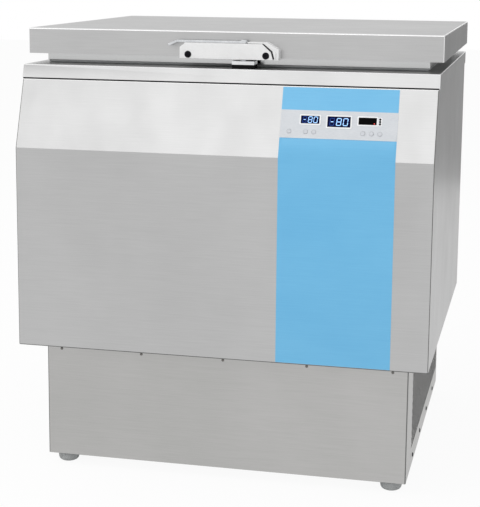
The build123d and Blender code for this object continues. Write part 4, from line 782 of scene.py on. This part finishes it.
# Machine: compressors, condenser, driers and bent copper pipes
TRAY = 24.0                     # upper face of the base tray
SHELL_LOW = TRAY + 17.0
SHELL_HIGH = SHELL_LOW + 178.0
WELD = SHELL_LOW + 97.9
SHELL_RADIUS = 82.0
SHELL_X = -215.0
SHELL_Y = (FRONT + 200, FRONT + 460)
STUB_END = SHELL_X + SHELL_RADIUS + 22
HIGH_PORT = SHELL_LOW + 120.0
LOW_PORT = SHELL_LOW + 75.0
FIN_X = (292.0, 340.0)
FIN_Y = (FRONT + 180, FRONT + 620)
FIN_Z = (TRAY + 23, TRAY + 205)
TUBE_PITCH = (FIN_Z[1] - FIN_Z[0]) / 4
TUBE_ROWS = [FIN_Z[0] + (row + 0.5) * TUBE_PITCH for row in range(4)]
TUBE_X = sum(FIN_X) / 2
DRIER_RADIUS = 15.0


def joined(*shapes):
    """One drawing from several, each turned into the first."""
    whole = shapes[0]
    for shape in shapes[1:]:
        mesh = mesh_of(shape)
        whole.from_mesh(mesh)
        bpy.data.meshes.remove(mesh)
    return whole


def moved(bm, matrix):
    bmesh.ops.transform(bm, matrix=matrix, verts=bm.verts)
    return bm


def tube(points, radius, bend=18.0, sides=14, arc=6):
    """A round tube along straight runs with bends of a radius, closed at both ends."""
    points = [Vector(point) for point in points]
    path = [points[0]]
    for before, corner, after in zip(points, points[1:], points[2:]):
        inward, outward = (before - corner).normalized(), (after - corner).normalized()
        turn = pi - inward.angle(outward)
        reach = min(bend, 0.48 * min((before - corner).length, (after - corner).length))
        centre = corner + (inward + outward).normalized() * (reach / cos(turn / 2)) if turn < pi else corner
        start = corner + inward * reach
        axis = (start - centre).cross(corner + outward * reach - centre)
        path += [centre + Matrix.Rotation(turn * i / arc, 3, axis) @ (start - centre) for i in range(arc + 1)]
    path.append(points[-1])
    bm = bmesh.new()
    side = (path[1] - path[0]).orthogonal().normalized()
    rings = []
    for i, point in enumerate(path):
        along = (path[min(i + 1, len(path) - 1)] - path[max(i - 1, 0)]).normalized()
        side = (side - along * side.dot(along)).normalized()
        across = along.cross(side)
        turns = [2 * pi * j / sides for j in range(sides)]
        rings.append([bm.verts.new(point + (side * cos(turn) + across * sin(turn)) * radius)
                      for turn in turns])
    bridge(bm, rings)
    close_ends(bm, rings)
    return bm


def compressor(y):
    """A hermetic shell: two drawn halves with a weld bead, a base plate, a terminal cover and port stubs."""
    belly = [(SHELL_RADIUS * cos(radians(a)) ** 0.4, SHELL_LOW + 17 * (1 - sin(radians(a))))
             for a in range(72, 0, -12)]
    bead = [(SHELL_RADIUS + 3 * sin(pi * i / 6), WELD + i) for i in range(7)]
    dome = [(SHELL_RADIUS * cos(radians(a)) ** 0.55, SHELL_HIGH - 34 * (1 - sin(radians(a))))
            for a in range(9, 82, 9)]
    profile = [(0, SHELL_LOW)] + belly + [(SHELL_RADIUS, SHELL_LOW + 17)] + bead
    profile += [(SHELL_RADIUS, SHELL_HIGH - 34)] + dome + [(0, SHELL_HIGH)]
    seat = Matrix.Translation((0, -SHELL_RADIUS + 4, SHELL_LOW + 87.5)) @ Matrix.Rotation(pi / 2, 4, "X")
    shapes = [lathe(profile, 72), rounded_plate(190, 150, 14, TRAY + 14, TRAY + 17, 0.6),
              moved(rounded_plate(54, 52, 6, 0, 24, 3.0), seat)]
    for height, offset in ((HIGH_PORT, -30), (LOW_PORT, 30)):
        shapes.append(tube([(50, offset, height), (SHELL_RADIUS + 22, offset, height)], 6.0))
        shapes.append(tube([(70, offset, height), (SHELL_RADIUS - 2, offset, height)], 10.0))
    return to_mesh(joined(*shapes), Matrix.Translation((SHELL_X, y, 0)))


for name, y in zip(("compressor_first_stage", "compressor_second_stage"), SHELL_Y):
    place(compressor(y), f"{name}_shell", compressor_paint, "cabinet", [name])

# Condenser: a pack of thin fins on four rows of tube with bends at the ends, between two end plates
fin = bmesh.new()
add_box(fin, (FIN_X[0], -0.15, FIN_Z[0]), (FIN_X[1], 0.15, FIN_Z[1]))
FIN_PITCH = 4.0
fin_count = int((FIN_Y[1] - FIN_Y[0] - 8) / FIN_PITCH) + 1
fin_places = [((0, FIN_Y[0] + 4 + FIN_PITCH * i, 0), (0, 0, 1)) for i in range(fin_count)]
place(repeated(to_mesh(fin), fin_places, fin_metal), "condenser_fins", fin_metal, "cabinet",
      ["condenser"])
ends = bmesh.new()
for y in (FIN_Y[0], FIN_Y[1] - 1.5):
    add_box(ends, (FIN_X[0], y, TRAY), (FIN_X[1], y + 1.5, FIN_Z[1]))
place(to_mesh(ends), "condenser_end_plates", galvanised, "cabinet")
serpentine = []
ends_y = (FIN_Y[0] - 8, FIN_Y[1] + 8)
for row, z in enumerate(TUBE_ROWS):
    serpentine += [(TUBE_X, ends_y[row % 2], z), (TUBE_X, ends_y[1 - row % 2], z)]
place(to_mesh(tube(serpentine, 4.8, 18)), "condenser_tube", copper, "cabinet")

# Filter driers, spun copper, on saddles in the same copper finish
driers = []
for x, y, z in ((120, FRONT + 130, TUBE_ROWS[0]), (30, FRONT + 330, LOW_PORT)):
    shape = lathe([(0, 0), (4.6, 0), (5.2, 5), (8, 9), (12.5, 13), (DRIER_RADIUS, 19), (DRIER_RADIUS, 101),
                   (12.5, 107), (8, 111), (5.2, 115), (4.6, 120), (0, 120)], 32)
    driers.append(moved(shape, Matrix.Translation((x, y, z)) @ Matrix.Rotation(-pi / 2, 4, "X")))
    saddle = bmesh.new()
    add_box(saddle, (x - 12, y + 48, TRAY), (x + 12, y + 72, z - 2))
    driers.append(saddle)
place(to_mesh(joined(*driers)), "spun_filter_driers", copper, "cabinet", ["filter_driers"])

FIRST, SECOND = SHELL_Y
HOT = FIN_Y[0] - 10
TAIL = FRONT + 667.8
TOP_ROW = TUBE_ROWS[3]
LOW_ROW = TUBE_ROWS[0]
RISER_TOP = 244.0               # the tails of the tank's coil meet the pipes here, under the floor
PIPES = (
    # Hot gas from the first compressor to the top of the condenser
    ((STUB_END, FIRST - 30, HIGH_PORT), (STUB_END + 50, FIRST - 30, HIGH_PORT),
     (STUB_END + 50, FIRST - 30, TOP_ROW), (STUB_END + 50, HOT - 50, TOP_ROW), (TUBE_X, HOT - 50, TOP_ROW),
     (TUBE_X, HOT, TOP_ROW)),
    # Liquid from the condenser through the first drier to the heat exchanger, and its return
    ((TUBE_X, HOT, LOW_ROW), (TUBE_X, FRONT + 100, LOW_ROW), (120, FRONT + 100, LOW_ROW),
     (120, FRONT + 130, LOW_ROW)),
    ((120, FRONT + 250, LOW_ROW), (120, FRONT + 290, LOW_ROW), (-2, FRONT + 290, LOW_ROW),
     (-2, FRONT + 260, LOW_ROW)),
    ((STUB_END, FIRST + 30, LOW_PORT), (-20, FIRST + 30, LOW_PORT)),
    # Second stage to the heat exchanger, through the second drier and up to the tank, and back
    ((STUB_END, SECOND - 30, HIGH_PORT), (-2, SECOND - 30, HIGH_PORT), (-2, FRONT + 260, HIGH_PORT)),
    ((30, FRONT + 260, LOW_PORT), (30, FRONT + 330, LOW_PORT)),
    ((30, FRONT + 450, LOW_PORT), (30, TAIL, LOW_PORT), (30, TAIL, RISER_TOP)),
    ((STUB_END, SECOND + 30, LOW_PORT), (-30, SECOND + 30, LOW_PORT), (-30, TAIL, LOW_PORT),
     (-30, TAIL, RISER_TOP)),
)
pipes = joined(*[tube(points, 4.0) for points in PIPES])
place(to_mesh(pipes), "bent_copper_pipes", copper, "cabinet", ["refrigerant_pipes"])

# Copies of CAD nodes with broken edges
for node, material, slot, edge, fold in (
    ("front_cover", casing_level, "casing_steel", 0.25, 1.4),
    ("rim_frame", casing_level, "casing_steel", 0.3, 1.6),
    ("lid_shell", casing_across, "casing_steel", 0.0, 1.6),
    ("cabinet_side_left", casing_level, "casing_steel", 0.25, 0),
    ("cabinet_side_right", casing_level, "casing_steel", 0.25, 0),
    ("cabinet_back", casing_level, "casing_steel", 0.25, 0),
    ("base_front_panel", base_steel, "casing_steel", 0.2, 1.4),
    ("base_rear_panel", base_steel, "casing_steel", 0.2, 0),
    ("inner_tank", tank_steel, "tank_steel", 0.3, 0),
    ("breaker_collar", liner_plastic, "liner_white", 0.8, 0),
    ("lid_liner", liner_steel, "tank_steel", 0.8, 0),
    ("lid_gasket", gasket_rubber, "gasket_grey", 0.4, 0),
    ("decor_panel", blue_film, "decor_blue", 0.1, 0),
    ("control_fascia", grey_film, "fascia_grey", 0.12, 0),
    ("latch_housing", latch_paint, "latch_white", 0.4, 0),
    ("latch_cover_plate", latch_paint, "latch_white", 0.3, 0),
    ("latch_screws", black_oxide, "screw_black", 0.3, 0),
    ("latch_lever", chrome, "lever_chrome", 0.6, 0),
    ("latch_spindle", chrome, "lever_chrome", 0.3, 0),
    ("striker_plate", striker_steel, "lever_chrome", 0.3, 0),
    ("striker_pad", pad_rubber, "striker_black", 0.6, 0),
    ("cabinet_hinge_leaves", hinge_steel, "casing_steel", 0.3, 0),
    ("lid_hinge_leaves", hinge_steel, "casing_steel", 0.3, 0),
    ("hinge_pins", zinc_plate, "screw_steel", 0.4, 0),
    ("fan_shroud", shroud_paint, "shroud_black", 0.3, 0),
    ("fan_motor", motor_paint, "motor_grey", 0.5, 0),
    ("electrical_box", box_paint, "box_grey", 0.6, 0),
    ("mains_inlet", black_plastic, "inlet_black", 0.25, 0),
    ("mains_rocker", black_plastic, "rocker_black", 0.3, 0),
    ("cascade_heat_exchanger", foam_cells, "foam_cream", 1.5, 0),
):
    dress(node, material, edge, fold)
for number in range(1, 7):
    dress(f"key_{number}", key_film, 0.1)

# CAD nodes that keep their own shape and get their finish
for node, material in (
    ("base_frame", galvanised),
    ("cabinet_floor", galvanised),
    ("cabinet_front_wall", galvanised),
    ("cabinet_foam", foam_cells),
    ("lid_foam", foam_cells),
    ("evaporator_coil", copper),
    ("temperature_probe", zinc_plate),
    ("control_module", module_plastic),
    ("control_board", board),
    ("compressor_grommets", pad_rubber),
):
    mesh = nodes[node].data
    mesh.materials.clear()
    mesh.materials.append(material)


# Studio, in metres

def background(tree, lit, white=1.0):
    """White to the camera and to mirrors, a softer level to everything else."""
    rays = add(tree, "ShaderNodeLightPath").outputs
    seen = rays["Is Camera Ray"]
    for ray in ("Is Glossy Ray", "Is Transmission Ray"):
        seen = add(tree, "ShaderNodeMath", {0: seen, 1: rays[ray]}, operation="MAXIMUM").outputs[0]
    return add(tree, "ShaderNodeMapRange", {"Value": seen, "To Min": lit, "To Max": white}).outputs[0]


def stage_piece(name, bm, material):
    mesh = mesh_of(bm, name)
    mesh.materials.append(material)
    piece = new_object(name, mesh)
    return piece


WORLD_LEVEL = 0.7               # what the world gives to matt surfaces
FLOOR_WHITE = 0.93              # share of plain white in the floor to the camera; the rest takes shadow
world = bpy.data.worlds.new("studio")
world.use_nodes = True
world.node_tree.nodes.clear()
sky = add(world.node_tree, "ShaderNodeBackground", {
    "Color": (1, 1, 1, 1), "Strength": background(world.node_tree, WORLD_LEVEL)})
add(world.node_tree, "ShaderNodeOutputWorld", {"Surface": sky.outputs[0]})
scene.world = world

floor_paper = empty_material("white_studio_floor")
tree = floor_paper.node_tree
paper = add(tree, "ShaderNodeBsdfDiffuse", {"Color": (0.9, 0.9, 0.9, 1)})
white = add(tree, "ShaderNodeEmission", {"Color": (1, 1, 1, 1), "Strength": 1.0})
mixed = add(tree, "ShaderNodeMixShader", {
    "Fac": background(tree, 0.0, FLOOR_WHITE), 1: paper.outputs[0], 2: white.outputs[0]})
add(tree, "ShaderNodeOutputMaterial", {"Surface": mixed.outputs[0]})
bm = bmesh.new()
bmesh.ops.create_grid(bm, x_segments=1, y_segments=1, size=14)
stage_piece("floor", bm, floor_paper)

# Large soft boxes: a long one high in front, which the slanted face mirrors, one behind, which the lid
# mirrors, and one overhead to the left, seen by no mirror, that gives the object its shape
for name, position, target, width, height, power, in_mirrors in (
    ("front_high", (0.05, -3.1, 2.4), (0.05, -0.3, 0.75), 4.9, 1.5, 20.2, True),
    ("behind_lid", (-0.6, 3.2, 1.9), (0, 0, 0.85), 5.0, 1.4, 4, True),
    ("overhead_left", (-2.2, -1.2, 3.4), (0, 0, 0.4), 2.4, 2.4, 40, False),
):
    light = bpy.data.lights.new(name, "AREA")
    light.shape = "RECTANGLE"
    light.size = width
    light.size_y = height
    light.energy = power
    lamp = new_object(name, light)
    lamp.location = position
    lamp.rotation_mode = "QUATERNION"
    lamp.rotation_quaternion = (Vector(target) - Vector(position)).to_track_quat("-Z", "Y")
    lamp.visible_camera = False
    lamp.visible_glossy = in_mirrors

# A grey card to the right and behind, outside the picture, which the right side mirrors
card_felt = empty_material("grey_studio_card")
tree = card_felt.node_tree
felt = add(tree, "ShaderNodeBsdfDiffuse", {"Color": (0.52, 0.52, 0.52, 1)})
add(tree, "ShaderNodeOutputMaterial", {"Surface": felt.outputs[0]})
bm = bmesh.new()
bm.faces.new([bm.verts.new((x, 1.3, z)) for x, z in ((0.5, 0.35), (3.0, 0.35), (3.0, 2.2), (0.5, 2.2))])
card = stage_piece("card", bm, card_felt)
card.visible_camera = False
card.visible_diffuse = False
card.visible_shadow = False

# Camera at the photograph's angle: turn, tilt and roll in degrees, focal length and rise of the picture in
# pixels of its long side
LONG_SIDE = 507.0
FOCAL = 1362.4
RISE = -61.0
TURN = 12.811
TILT = 9.517
ROLL = 0.480
camera_data = bpy.data.cameras.new("camera")
camera_data.lens = FOCAL * camera_data.sensor_width / LONG_SIDE
camera_data.shift_y = RISE / LONG_SIDE
camera_data.clip_end = 100
camera = new_object("camera", camera_data)
camera.matrix_world = (
    Matrix.Translation((0.5959, FRONT * MM - 2.4326, 0.9991))
    @ Matrix.Rotation(radians(TURN), 4, "Z")
    @ Matrix.Rotation(radians(90 - TILT), 4, "X")
    @ Matrix.Rotation(radians(ROLL), 4, "Z")
)
scene.camera = camera
scene.view_settings.view_transform = "Standard"
